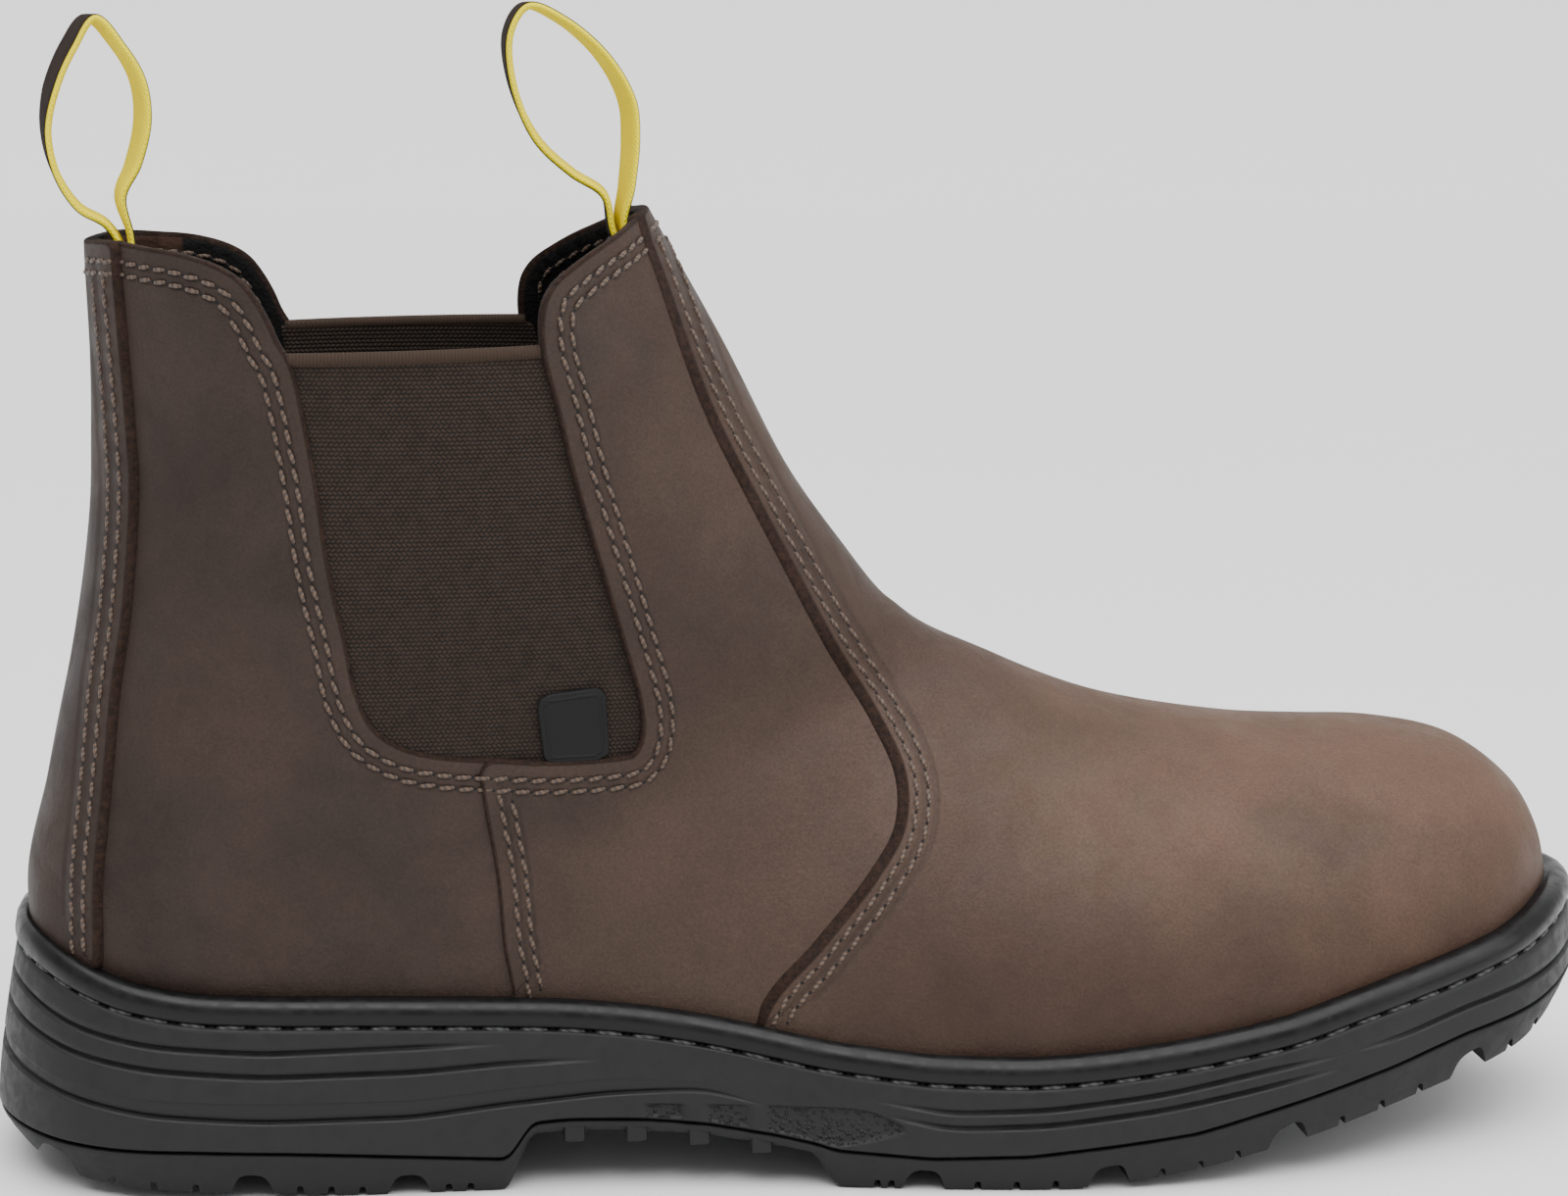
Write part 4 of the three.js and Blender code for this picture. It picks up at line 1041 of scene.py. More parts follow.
def insole_finish(colours):
    material, w, shader = finish("footbed_cloth", roughness=0.95, sheen_weight=0.2)
    place = w.place()
    weave = w.cells(place, 1100.0)
    tone = w.mix(w.ramp(weave, 0.1, 0.6), colours.insole, tuple(c * 0.4 for c in colours.insole[:3]) + (1.0,))
    w.join(tone, shader.inputs["Base Color"])
    w.join(w.bump(weave, 0.00025), shader.inputs["Normal"])
    return material


def floor_finish():
    material, w, shader = finish("pale_floor", roughness=0.9, specular_ior_level=0.2)
    tone = w.mix(w.noise(w.place(), 3.0), (0.80, 0.80, 0.80, 1.0), (0.82, 0.82, 0.82, 1.0))
    w.join(tone, shader.inputs["Base Color"])
    return material


# Rings of the sole
def feather_ring(stations):
    """Where the leather meets the welt, with the outward direction: tip, outer side, tip, inner."""
    fine = np.arange(along_last(-0.02), along_last(1.03), LAST_LENGTH / 4000)
    spread = side_place(fine, rim_z(fine))[4]
    inside = fine[spread > 0]
    low, high = inside[0], inside[-1]
    share = (1 - np.cos(np.linspace(0, math.pi, stations))) / 2
    x = low + (high - low) * (0.5 * share + 0.5 * np.linspace(0, 1, stations))
    outer, inner = side_place(x, rim_z(x))[2:4]
    tips = (outer + inner) / 2
    outer[[0, -1]] = tips[[0, -1]]
    inner[[0, -1]] = tips[[0, -1]]
    ring_x = np.concatenate([x, x[-2:0:-1]])
    ring_y = np.concatenate([outer, inner[-2:0:-1]])
    run_x = np.roll(ring_x, -1) - np.roll(ring_x, 1)
    run_y = np.roll(ring_y, -1) - np.roll(ring_y, 1)
    length = np.hypot(run_x, run_y)
    out = blurred(np.stack([run_y / length, -run_x / length], -1), 4)
    out /= np.linalg.norm(out, axis=1, keepdims=True)
    return ring_x, ring_y, out[:, 0], out[:, 1]


RING = feather_ring(420)


def ring_at(offset, height):
    x, y, out_x, out_y = RING
    return np.stack([x + out_x * offset, y + out_y * offset, height + 0 * x], -1)


# The upper

def panel_sheets(name):
    """Distances and edges of one leather panel."""
    def trim(x, z):
        return z - rim_z(x) + 0.6

    raw = round_edge(LEATHER_BACK - REAR_DROP)
    if name == "rear_quarter":
        def distance(x, y, z):
            under_strip = AHEAD_OF_STRIP.distance(x, z) + 6
            under_seam = BEHIND_SEAM.distance(x, z) + 8
            return [OPENING.distance(x, z), under_strip, under_seam, trim(x, z)]
        return REAR_DROP, distance, [raw, raw, raw, raw]
    if name == "front_quarter":
        raw = round_edge(LEATHER_BACK - FRONT_DROP)
        seam = round_edge(1.4)

        def distance(x, y, z):
            under_vamp = BEFORE_VAMP.distance(x, z) + 8
            return [OPENING.distance(x, z), SEAM.distance(x, z), under_vamp, trim(x, z)]
        return FRONT_DROP, distance, [raw, seam, raw, raw]
    raw = round_edge(LEATHER_BACK)
    if name == "vamp":
        def distance(x, y, z):
            return [OPENING.distance(x, z), VAMP.distance(x, z), trim(x, z)]
        return 0.0, distance, [raw, long_bevel(1.5, 0.62, LEATHER_BACK), raw]

    def distance(x, y, z):
        return [OPENING.distance(x, z), STRIP.distance(x, z), trim(x, z)]
    return 0.0, distance, [raw, long_bevel(0.6, 1.1, LEATHER_BACK), raw]


FAR_FROM_EDGE = 30.0  # given to the panel's lower end, which is hidden behind the welt


def leather_panel(name, material):
    offset, distance, edges = panel_sheets(name)
    points, faces, reach, kind = cut_sheet(offset, LEATHER_BACK, distance, edges)
    bottom = kind == len(edges) - 1
    reach = np.where(bottom, FAR_FROM_EDGE, reach)
    return add_mesh(name, points, faces, material, floats={"rim": reach})


def lining_piece(material):
    def distance(x, y, z):
        return [OPENING.distance(x, z) - 0.9, z - footbed_z(x) - 0.8]

    edge = round_edge(LINING_BACK - LINING_FACE)
    points, faces, reach, _ = cut_sheet(LINING_FACE, LINING_BACK, distance, [edge, edge], stride=2)
    return add_mesh("lining", points, faces, material, floats={"rim": reach})


def gore_piece(name, side, material):
    top = float(above_rim(GORE_TOP))

    def distance(x, y, z):
        return [WINDOW.distance(x, z) + 1.6, top - z, side * y - 1.0]

    edge = round_edge(1.6)
    points, faces, reach, _ = cut_sheet(GORE_DROP, GORE_DROP + 1.6, distance, [edge, edge, edge])
    return add_mesh(name, points, faces, material, floats={"rim": reach})


def tab_piece(material):
    def distance(x, y, z):
        return [TAB.distance(x, z), -y - 1.0]

    edge = round_edge(1.0)
    points, faces, reach, _ = cut_sheet(1.0, 2.0, distance, [edge, edge])
    return add_mesh("label_tab_cloth", points, faces, material, floats={"rim": reach})


# Lines that stitches follow
def offset_line(line, out):
    """A side-view line moved to its left by out."""
    run = np.gradient(line, axis=0)
    run /= np.linalg.norm(run, axis=1, keepdims=True)
    moved = line + np.stack([-run[:, 1], run[:, 0]], -1) * out
    return moved


def spaced(line, spacing):
    run = np.concatenate([[0], np.cumsum(np.linalg.norm(np.diff(line, axis=0), axis=1))])
    count = max(2, int(run[-1] / spacing) + 1)
    at = np.linspace(0, run[-1], count)
    return np.stack([np.interp(at, run, line[:, k]) for k in range(line.shape[1])], -1)


def guide_object(name, strands):
    """A bare edge mesh of stitch lines with the outward direction at each point."""
    points, edges, normals = [], [], []
    for at, normal in strands:
        start = len(points)
        points += list(at)
        normals += list(normal)
        edges += [(start + i, start + i + 1) for i in range(len(at) - 1)]
    mesh = bpy.data.meshes.new(name)
    mesh.from_pydata([tuple((p + STAND) * MM) for p in points], edges, [])
    layer = mesh.attributes.new("away", "FLOAT_VECTOR", "POINT")
    layer.data.foreach_set("vector", np.array(normals, np.float32).ravel())
    guide = bpy.data.objects.new(name, mesh)
    bpy.context.scene.collection.objects.link(guide)
    return guide


def thread_tree():
    """Stitches with a needle hole between each two, drawn as a dark disc of painted shade, laid along the
    edges of a guide mesh.
    """
    tree = bpy.data.node_groups.new("stitch_row", "GeometryNodeTree")
    face = tree.interface
    face.new_socket(name="Geometry", in_out="INPUT", socket_type="NodeSocketGeometry")
    for label, default in (
        ("Pitch", 0.0034), ("Length", 0.0031), ("Thickness", 0.0007), ("Height", 0.0006), ("Lean", 0.14),
        ("Hole", 0.0004), ("Wander", 0.00008),
    ):
        face.new_socket(name=label, in_out="INPUT", socket_type="NodeSocketFloat").default_value = default
    face.new_socket(name="Thread", in_out="INPUT", socket_type="NodeSocketMaterial")
    face.new_socket(name="Shade", in_out="INPUT", socket_type="NodeSocketMaterial")
    face.new_socket(name="Geometry", in_out="OUTPUT", socket_type="NodeSocketGeometry")
    given = tree.nodes.new("NodeGroupInput").outputs
    result = tree.nodes.new("NodeGroupOutput")
    w = Wires(tree)

    curve = w.node("GeometryNodeMeshToCurve", {"Mesh": given["Geometry"]}).outputs[0]
    half = w.math("MULTIPLY", given["Pitch"], 0.5)
    row = w.node("GeometryNodeResampleCurve", {"Curve": curve, "Length": half}, mode="LENGTH").outputs[0]
    away = w.node("GeometryNodeInputNamedAttribute", {"Name": "away"}, data_type="FLOAT_VECTOR").outputs[0]
    tangent = w.node("GeometryNodeInputTangent").outputs[0]
    turn = w.node("FunctionNodeAlignRotationToVector", {"Vector": tangent}, axis="X").outputs[0]
    turn = w.node(
        "FunctionNodeAlignRotationToVector", {"Rotation": turn, "Vector": away}, axis="Z", pivot_axis="X"
    ).outputs[0]
    chance = w.node(
        "FunctionNodeRandomValue", {"Min": (-1.0, -1.0, -1.0), "Max": (1.0, 1.0, 1.0), "Seed": 7},
        data_type="FLOAT_VECTOR",
    ).outputs[0]
    pick = w.node("ShaderNodeSeparateXYZ", {"Vector": chance}).outputs
    lean = w.math("ADD", given["Lean"], w.math("MULTIPLY", pick["X"], 0.07))
    yaw = w.node("ShaderNodeCombineXYZ", {"Z": lean}).outputs[0]
    yaw = w.node("FunctionNodeEulerToRotation", {"Euler": yaw}).outputs[0]
    leaning = {"Rotation": turn, "Rotate By": yaw}
    turn = w.node("FunctionNodeRotateRotation", leaning, rotation_space="LOCAL").outputs[0]

    ball = w.node("GeometryNodeMeshUVSphere", {"Segments": 8, "Rings": 7, "Radius": 0.5})
    spot = w.node("GeometryNodeInputPosition").outputs[0]
    spots = w.node("ShaderNodeSeparateXYZ", {"Vector": spot}).outputs
    stored = ball.outputs["Mesh"]
    angle = w.math("DIVIDE", w.math("ARCTAN2", spots["Y"], spots["Z"]), 2 * math.pi)
    stored = w.node(
        "GeometryNodeStoreNamedAttribute", {"Geometry": stored, "Name": "stitch_along", "Value": spots["X"]},
        data_type="FLOAT", domain="POINT",
    ).outputs[0]
    stored = w.node(
        "GeometryNodeStoreNamedAttribute", {"Geometry": stored, "Name": "stitch_turn", "Value": angle},
        data_type="FLOAT", domain="POINT",
    ).outputs[0]
    # A rounded bar: the ball's ends are pushed out flat before it is sized
    outwards = w.math("ABSOLUTE", w.math("MULTIPLY", spots["X"], 2.0))
    blunt = w.math("MULTIPLY", w.math("SIGN", spots["X"]), w.math("POWER", outwards, 0.6))
    blunt = w.math("MULTIPLY", blunt, 0.5)
    dip = w.math("MULTIPLY", w.math("POWER", outwards, 3.0), -0.25)
    lowered = w.math("ADD", spots["Z"], dip)
    shaped = w.node("ShaderNodeCombineXYZ", {"X": blunt, "Y": spots["Y"], "Z": lowered}).outputs[0]
    bar = w.node("GeometryNodeSetPosition", {"Geometry": stored, "Position": shaped}).outputs[0]
    size = {"X": given["Length"], "Y": given["Thickness"], "Z": given["Height"]}
    size = w.node("ShaderNodeCombineXYZ", size).outputs[0]
    bar = w.node("GeometryNodeTransform", {"Geometry": bar, "Scale": size}).outputs[0]
    hole = w.node("GeometryNodeMeshUVSphere", {"Segments": 7, "Rings": 4, "Radius": given["Hole"]})
    hole = hole.outputs["Mesh"]
    hole = w.node("GeometryNodeTransform", {"Geometry": hole, "Scale": (1.25, 1.0, 0.5)}).outputs[0]

    index = w.node("GeometryNodeInputIndex").outputs[0]
    parity = w.math("MODULO", index, 2.0)
    halfway = {0: parity, 1: 0.5}
    even, uneven = (
        w.node("FunctionNodeCompare", halfway, data_type="FLOAT", operation=kind).outputs[0]
        for kind in ("LESS_THAN", "GREATER_THAN")
    )
    wander = w.math("MULTIPLY", pick["Y"], given["Wander"])
    shift = w.node("ShaderNodeVectorMath", {0: away, 3: wander}, operation="SCALE").outputs[0]
    moved = w.node("GeometryNodeSetPosition", {"Geometry": row, "Offset": shift}).outputs[0]
    longer = w.math("ADD", 1.0, w.math("MULTIPLY", pick["Z"], 0.06))
    grow = w.node("ShaderNodeCombineXYZ", {"X": longer, "Y": 1.0, "Z": 1.0}).outputs[0]
    bars = w.node(
        "GeometryNodeInstanceOnPoints",
        {"Points": moved, "Selection": uneven, "Instance": bar, "Rotation": turn, "Scale": grow},
    ).outputs[0]
    sunk = w.node("ShaderNodeVectorMath", {0: away, 3: -0.00022}, operation="SCALE").outputs[0]
    lowered = w.node("GeometryNodeSetPosition", {"Geometry": row, "Offset": sunk}).outputs[0]
    # The needle holes: dark discs of painted shade
    holes = w.node(
        "GeometryNodeInstanceOnPoints",
        {"Points": lowered, "Selection": even, "Instance": hole, "Rotation": turn},
    ).outputs[0]
    both = w.node("GeometryNodeJoinGeometry")
    for part, label in ((holes, "Shade"), (bars, "Thread")):
        real = w.node("GeometryNodeRealizeInstances", {"Geometry": part}).outputs[0]
        smooth = w.node("GeometryNodeSetShadeSmooth", {0: real}).outputs[0]
        dressed = w.node("GeometryNodeSetMaterial", {"Geometry": smooth, "Material": given[label]})
        tree.links.new(dressed.outputs[0], both.inputs[0])
    tree.links.new(both.outputs[0], result.inputs[0])
    return tree


def set_input(modifier, tree, label, value):
    item = next(s for s in tree.interface.items_tree if s.name == label and s.in_out == "INPUT")
    modifier[item.identifier] = value


def plain_copy(source, name):
    """The evaluated result of an object as a plain mesh piece; the source is taken away."""
    depsgraph = bpy.context.evaluated_depsgraph_get()
    mesh = bpy.data.meshes.new_from_object(source.evaluated_get(depsgraph), depsgraph=depsgraph)
    mesh.name = name
    old = source.data
    bpy.data.objects.remove(source)
    if isinstance(old, bpy.types.Mesh):
        bpy.data.meshes.remove(old)
    piece = bpy.data.objects.new(name, mesh)
    bpy.context.scene.collection.objects.link(piece)
    return piece


def sew(name, strands, tree, thread, shade, **sizes):
    guide = guide_object(name + "_guide", strands)
    modifier = guide.modifiers.new("stitches", "NODES")
    modifier.node_group = tree
    set_input(modifier, tree, "Thread", thread)
    set_input(modifier, tree, "Shade", shade)
    for label, value in sizes.items():
        set_input(modifier, tree, label.title(), value)
    piece = plain_copy(guide, name)
    return piece


# Sole
def midsole_rows():
    """Heights and insets of the side's rings, from the parting line up to the footbed."""
    x = RING[0]
    line = [RIM_HEIGHT * table_curve(SIDE_LINES, k, 3.0)(x) for k in (1, 2, 3, 4)]
    deep = [GROOVE_DEPTH * table_curve(SIDE_LINES, k, 2.0)(x) for k in (5, 6, 7)]
    high, low, band_top, band_foot = line
    foot = parting_z(x) + PARTING_LAP
    shelf = footbed_z(x)
    levels = [foot + 0.9, band_foot, band_top, low, high, shelf - 0.4]
    for k in range(1, len(levels)):
        levels[k] = np.maximum(levels[k], levels[k - 1] + 0.5)
    heights = []
    for k, level in enumerate(levels):
        below = level - (levels[k - 1] if k else foot)
        above = (levels[k + 1] if k + 1 < len(levels) else shelf) - level
        if 0 < k < len(levels) - 1:
            for share_out in (-1.0, -0.7, -0.4, -0.15, 0, 0.15, 0.4, 0.7, 1.0):
                room = np.minimum(0.8, 0.46 * (below if share_out < 0 else above))
                heights.append(level + share_out * room)
        else:
            heights.append(level)
        if k + 1 < len(levels):
            count = 26 if k == 0 else (6 if k == 2 else 3)
            start = level + (np.minimum(0.8, 0.46 * above) if 0 < k else 0)
            end = levels[k + 1] - np.minimum(0.8, 0.46 * above)
            if k + 2 == len(levels):
                end = levels[k + 1]
            for t in np.linspace(0, 1, count + 2)[1:-1]:
                heights.append(start + (end - start) * t)
    heights = np.sort(np.array(heights), axis=0)
    band_span = np.maximum(band_top - band_foot, 0.3)
    rows = []
    for z in heights:
        def vee(at, depth, lower=0.42, upper=0.85):
            away = z - at
            return depth * np.clip(1 - np.where(away < 0, -away / lower, away / upper), 0, 1) ** 0.8
        inset = vee(high, deep[0]) + vee(low, deep[1])
        rise = np.clip((band_top - z) / band_span, 0, 1)
        in_band = np.where(z >= band_foot, 0.22 * np.clip((band_top - z) / 0.35, 0, 1) + 0.5 * rise ** 2, 0)
        in_band = np.where(z < band_foot, 0.72 * np.clip(1 - (band_foot - z) / 0.3, 0, 1), in_band)
        inset += deep[2] * in_band + vee(band_foot, deep[2] * 0.5, 0.3, 0.6)
        lens, bars = lens_at(x, z)
        inset += lens
        rows.append((z, inset, np.where(lens > 0.25, 1.0, 0.0) * (1 - bars)))
    return foot, shelf, rows


def lens_at(x, z):
    """Depth of the pebbled recess ahead of the arch, and where the ribs of the arch cross it."""
    left, right = -39.0, 12.6
    t = np.clip((x - left) / (right - left), 0, 1)
    top = 16.8 - 1.2 * t - 3.4 * np.clip((t - 0.76) / 0.24, 0, 1) ** 2.4
    bottom = parting_z(x) + 0.9 + 4.2 * np.clip((t - 0.7) / 0.3, 0, 1) ** 1.6
    inside = np.minimum(np.minimum(top - z, z - bottom), np.minimum((x - left) * 0.6, (right - x) * 1.2))
    bars = np.zeros_like(x)
    for share in ARCH_BARS:
        bars = np.maximum(bars, np.clip((2.2 - np.abs(x - along_last(share))) / 0.5, 0, 1))
    depth = 0.7 * np.clip(inside / 0.6 + 0.1, 0, 1)
    return depth * (1 - bars), bars


def side_out(x, z, foot):
    rise = np.clip((z - foot) / (footbed_z(x) - foot), 0, 1)
    return welt_width(x) - 0.3 + flare_width(x) * (1 - rise ** 1.4)


def midsole_piece(material):
    x = RING[0]
    foot, shelf, rows = midsole_rows()
    rings = [ring_at(side_out(x, foot, foot) - lug_tuck(x) * 0.15 - 1.2, foot)]
    pebble = [np.zeros_like(x)]
    for z, inset, mask in rows:
        near_foot = 0.25 * np.clip(1 - (z - foot) / 1.0, 0, 1) ** 2
        rings.append(ring_at(side_out(x, z, foot) - inset - near_foot, z))
        pebble.append(mask)
    rings.append(ring_at(side_out(x, shelf, foot) - 0.25, shelf - 0.15))
    rings.append(ring_at(side_out(x, shelf, foot) - 0.7, shelf))
    rings.append(ring_at(side_out(x, shelf, foot) - 2.2, shelf))
    pebble += [np.zeros_like(x)] * 3
    points, faces = sole_solid(rings)
    return add_mesh("midsole_side", points, faces, material, floats={"pebble": np.concatenate(pebble)})


def welt_piece(material):
    """The bead: a round section swept round the feather line."""
    x = RING[0]
    inside = -REAR_DROP + PIECE_GAP
    bottom = footbed_z(x) + PIECE_GAP
    tall = rim_z(x) - bottom
    width = welt_width(x) - inside
    section = [
        [0, 0], [0.5, 0.0], [0.8, 0.01], [0.89, 0.05], [0.95, 0.13], [0.985, 0.24], [1.0, 0.36], [0.995, 0.5],
        [0.965, 0.63], [0.91, 0.76], [0.83, 0.87], [0.73, 0.945], [0.62, 0.985], [0.52, 1.0], [0.42, 0.985],
        [0.34, 0.94], [0.27, 0.9], [0.14, 0.9], [0, 0.9],
    ]
    rings = [ring_at(inside + width * out, bottom + tall * up) for out, up in section]
    points, quads = stack_rings(rings, closed=True)
    faces = faced_out(points, [quads])
    return add_mesh("welt_bead", points, faces, material, floats={"pebble": np.zeros(len(points))})


def prism(points, reach=90.0):
    """A side-view outline carried right through the boot."""
    p = np.array(points, float)
    count = len(p)
    near = np.stack([p[:, 0], np.full(count, -reach), p[:, 1]], -1)
    far = near + np.array([0, 2 * reach, 0])
    i = np.arange(count)
    j = (i + 1) % count
    sides = np.stack([i, j, j + count, i + count], -1)
    return np.concatenate([near, far]), sides, i[::-1], i + count


def rounded_outline(corners, radius, steps=4):
    """A ring of corners, each cut round by its own radius."""
    made = []
    count = len(corners)
    for k, (p, r) in enumerate(zip(corners, radius)):
        a, b, c = (np.array(corners[(k + s) % count], float) for s in (-1, 0, 1))
        if r <= 0:
            made.append(b)
            continue
        u = (a - b) / np.linalg.norm(a - b)
        v = (c - b) / np.linalg.norm(c - b)
        reach = min(r, 0.45 * np.linalg.norm(a - b), 0.45 * np.linalg.norm(c - b))
        for t in np.linspace(0, 1, steps + 1):
            made.append(b + u * reach * (1 - t) ** 2 + v * reach * t ** 2)
    return made


def cutter_object(name, outlines):
    """Closed prisms joined into one object, for cutting."""
    points, faces = [], []
    start = 0
    for outline in outlines:
        p, sides, cap_a, cap_b = prism(outline)
        turned = volume_of(p, [sides, cap_a[None, :], cap_b[None, :]]) < 0
        for f in [*sides.tolist(), cap_a.tolist(), cap_b.tolist()]:
            faces.append([start + k for k in (f[::-1] if turned else f)])
        points.append(p)
        start += len(p)
    mesh = bpy.data.meshes.new(name)
    placed = (np.concatenate(points) + STAND) * MM
    mesh.from_pydata([tuple(p) for p in placed], [], faces)
    piece = bpy.data.objects.new(name, mesh)
    bpy.context.scene.collection.objects.link(piece)
    return piece


def lug_spans():
    """Lengthwise spans of the tread's lugs, between the notches and the ends of the pads."""
    spans = []
    for pad, notches in ((HEEL_PAD, HEEL_NOTCHES), (FOREFOOT_PAD, FOREFOOT_NOTCHES)):
        first = -0.02 if pad is HEEL_PAD else pad[0] + 0.005
        last = pad[1] + (0.06 if pad is FOREFOOT_PAD else -0.002)
        ends = [first, *notches, last]
        for a, b in zip(ends[:-1], ends[1:]):
            spans.append((float(along_last(a)) + NOTCH_WIDTH / 2, float(along_last(b)) - NOTCH_WIDTH / 2))
    return spans


def tread_cutters():
    outlines = []
    slope = LUG_DEPTH / 3
    for share in [*HEEL_NOTCHES, *FOREFOOT_NOTCHES]:
        x = float(along_last(share))
        back, front = x - NOTCH_WIDTH / 2, x + NOTCH_WIDTH / 2
        zb, zf = float(tread_z(back)), float(tread_z(front))
        corners = [
            [back - slope, zb - LUG_DEPTH], [back - 0.2 * slope, zb], [back + slope, zb + LUG_DEPTH],
            [front - slope, zf + LUG_DEPTH], [front + 0.2 * slope, zf], [front + slope, zf - LUG_DEPTH],
        ]
        outlines.append(rounded_outline(corners, [0, 0.9, 1.8, 1.8, 0.9, 0]))
    for start, end in lug_spans():
        if end - start < 6:
            continue
        count = 3 if end - start > 14 else 2
        for k in range(count):
            x = start + (end - start) * (k + 0.85) / (count + 0.7)
            z = float(tread_z(x))
            tilt = float(tread_z(x + 1) - tread_z(x - 1)) / 2
            corners = [
                [x - 0.95, z - 1.5 - 0.95 * tilt], [x - 0.75, z - 0.75 * tilt], [x - 0.5, z + 1.9],
                [x + 0.5, z + 1.9], [x + 0.75, z + 0.75 * tilt], [x + 0.95, z - 1.5 + 0.95 * tilt],
            ]
            outlines.append(rounded_outline(corners, [0, 0.3, 0.5, 0.5, 0.3, 0], 3))
    return outlines


def channel_object(pad, name):
    """The lengthwise channel of a tread pad, swinging about the foot's middle."""
    steps = 60
    share = np.linspace(pad[0], pad[1], steps)
    x = along_last(share)
    safe = np.clip(x, along_last(0.012), along_last(0.985))
    outer, inner = side_place(safe, rim_z(safe))[2:4]
    swing = CHANNEL_SWING * np.cos(np.linspace(0, 12 * math.pi, steps))
    y = (outer + inner) / 2 - swing
    half = TREAD_CHANNEL / 2
    low, high = tread_z(x) - LUG_DEPTH, tread_z(x) + LUG_DEPTH
    across = np.array([-half - 1, half + 1, half - 0.8, 0.8 - half])
    rings = [
        np.stack([np.full(4, x[i]), y[i] + across, [low[i], low[i], high[i], high[i]]], -1)
        for i in range(steps)
    ]
    points, quads = stack_rings(rings)
    last = (steps - 1) * 4
    caps = [[3, 2, 1, 0], [last, last + 1, last + 2, last + 3]]
    faces = faced_out(points, [np.concatenate([quads, caps])])
    return add_mesh(name, points, faces, None)


def outsole_piece(material):
    x = RING[0]
    wide = welt_width(x) - 0.3 + flare_width(x)
    tuck = lug_tuck(x)
    top = parting_z(x)
    tread = tread_z(x)
    tall = top - tread
    body = [
        ring_at(wide - tuck - 1.0, tread),
        ring_at(wide - tuck - 0.35, tread + 0.03 * tall),
        ring_at(wide - tuck * 0.98, tread + 0.12 * tall),
        ring_at(wide - tuck * 0.75, tread + 0.32 * tall),
        ring_at(wide - tuck * 0.5, tread + 0.52 * tall),
        ring_at(wide - tuck * 0.32, tread + 0.72 * tall),
        ring_at(wide - tuck * 0.18, top - 0.9),
        ring_at(wide - tuck * 0.15 + 0.12, top - 0.4),
        ring_at(wide - tuck * 0.15 + 0.1, top - 0.02),
        ring_at(wide - tuck * 0.15 - 0.15, top + PARTING_LAP),
        ring_at(wide - tuck * 0.15 - 2.0, top + PARTING_LAP),
    ]
    points, faces = sole_solid(body)
    piece = add_mesh("outsole_tread_body", points, faces, material)
    tools = [cutter_object("tread_cutters", tread_cutters())]
    tools.append(channel_object(HEEL_PAD, "heel_channel"))
    tools.append(channel_object(FOREFOOT_PAD, "forefoot_channel"))
    for tool in tools:
        modifier = piece.modifiers.new(tool.name, "BOOLEAN")
        modifier.operation = "DIFFERENCE"
        modifier.solver = "MANIFOLD"
        modifier.object = tool
    done = plain_copy(piece, "outsole_tread")
    for tool in tools:
        bpy.data.objects.remove(tool)
    done.data.set_sharp_from_angle(angle=math.radians(38))
    if not done.data.materials:
        done.data.materials.append(material)
    return done


def arch_bars_piece(material):
    """Ribs across the arch: a bar set on points of a line along the arch."""
    points = []
    spans = []
    for share in ARCH_BARS:
        x = float(along_last(share))
        outer, inner = (float(v) for v in side_place(np.array([x]), rim_z(np.array([x])))[2:4])
        wide = float(welt_width(x) - 0.3 + flare_width(x) - lug_tuck(x) * 0.2)
        spans.append((inner + wide) - (outer - wide))
        points.append([x, (outer + inner) / 2, float(tread_z(x)) - 1.5])
    mesh = bpy.data.meshes.new("arch_line")
    mesh.from_pydata([tuple((np.array(p) + STAND) * MM) for p in points], [], [])
    layer = mesh.attributes.new("span", "FLOAT", "POINT")
    layer.data.foreach_set("value", np.array(spans, np.float32) * MM)
    line = bpy.data.objects.new("arch_line", mesh)
    bpy.context.scene.collection.objects.link(line)
    tree = bpy.data.node_groups.new("arch_ribs", "GeometryNodeTree")
    face = tree.interface
    face.new_socket(name="Geometry", in_out="INPUT", socket_type="NodeSocketGeometry")
    face.new_socket(name="Rib Width", in_out="INPUT", socket_type="NodeSocketFloat").default_value = 0.0037
    face.new_socket(name="Rib Height", in_out="INPUT", socket_type="NodeSocketFloat").default_value = 0.0035
    face.new_socket(name="Rubber", in_out="INPUT", socket_type="NodeSocketMaterial")
    face.new_socket(name="Geometry", in_out="OUTPUT", socket_type="NodeSocketGeometry")
    given = tree.nodes.new("NodeGroupInput").outputs
    result = tree.nodes.new("NodeGroupOutput")
    w = Wires(tree)
    block = w.node("GeometryNodeMeshCube", {"Size": (1.0, 1.0, 1.0)}).outputs[0]
    block = w.node("GeometryNodeTransform", {"Geometry": block, "Translation": (0.0, 0.0, 0.5)}).outputs[0]
    span = w.node("GeometryNodeInputNamedAttribute", {"Name": "span"}, data_type="FLOAT").outputs[0]
    size = {"X": given["Rib Width"], "Y": span, "Z": given["Rib Height"]}
    size = w.node("ShaderNodeCombineXYZ", size).outputs[0]
    placed = {"Points": given["Geometry"], "Instance": block, "Scale": size}
    placed = w.node("GeometryNodeInstanceOnPoints", placed).outputs[0]
    real = w.node("GeometryNodeRealizeInstances", {"Geometry": placed}).outputs[0]
    done = w.node("GeometryNodeSetMaterial", {"Geometry": real, "Material": given["Rubber"]}).outputs[0]
    tree.links.new(done, result.inputs[0])
    modifier = line.modifiers.new("ribs", "NODES")
    modifier.node_group = tree
    set_input(modifier, tree, "Rubber", material)
    bevel = line.modifiers.new("round", "BEVEL")
    bevel.width = 0.0004
    bevel.segments = 2
    return plain_copy(line, "arch_ribs")


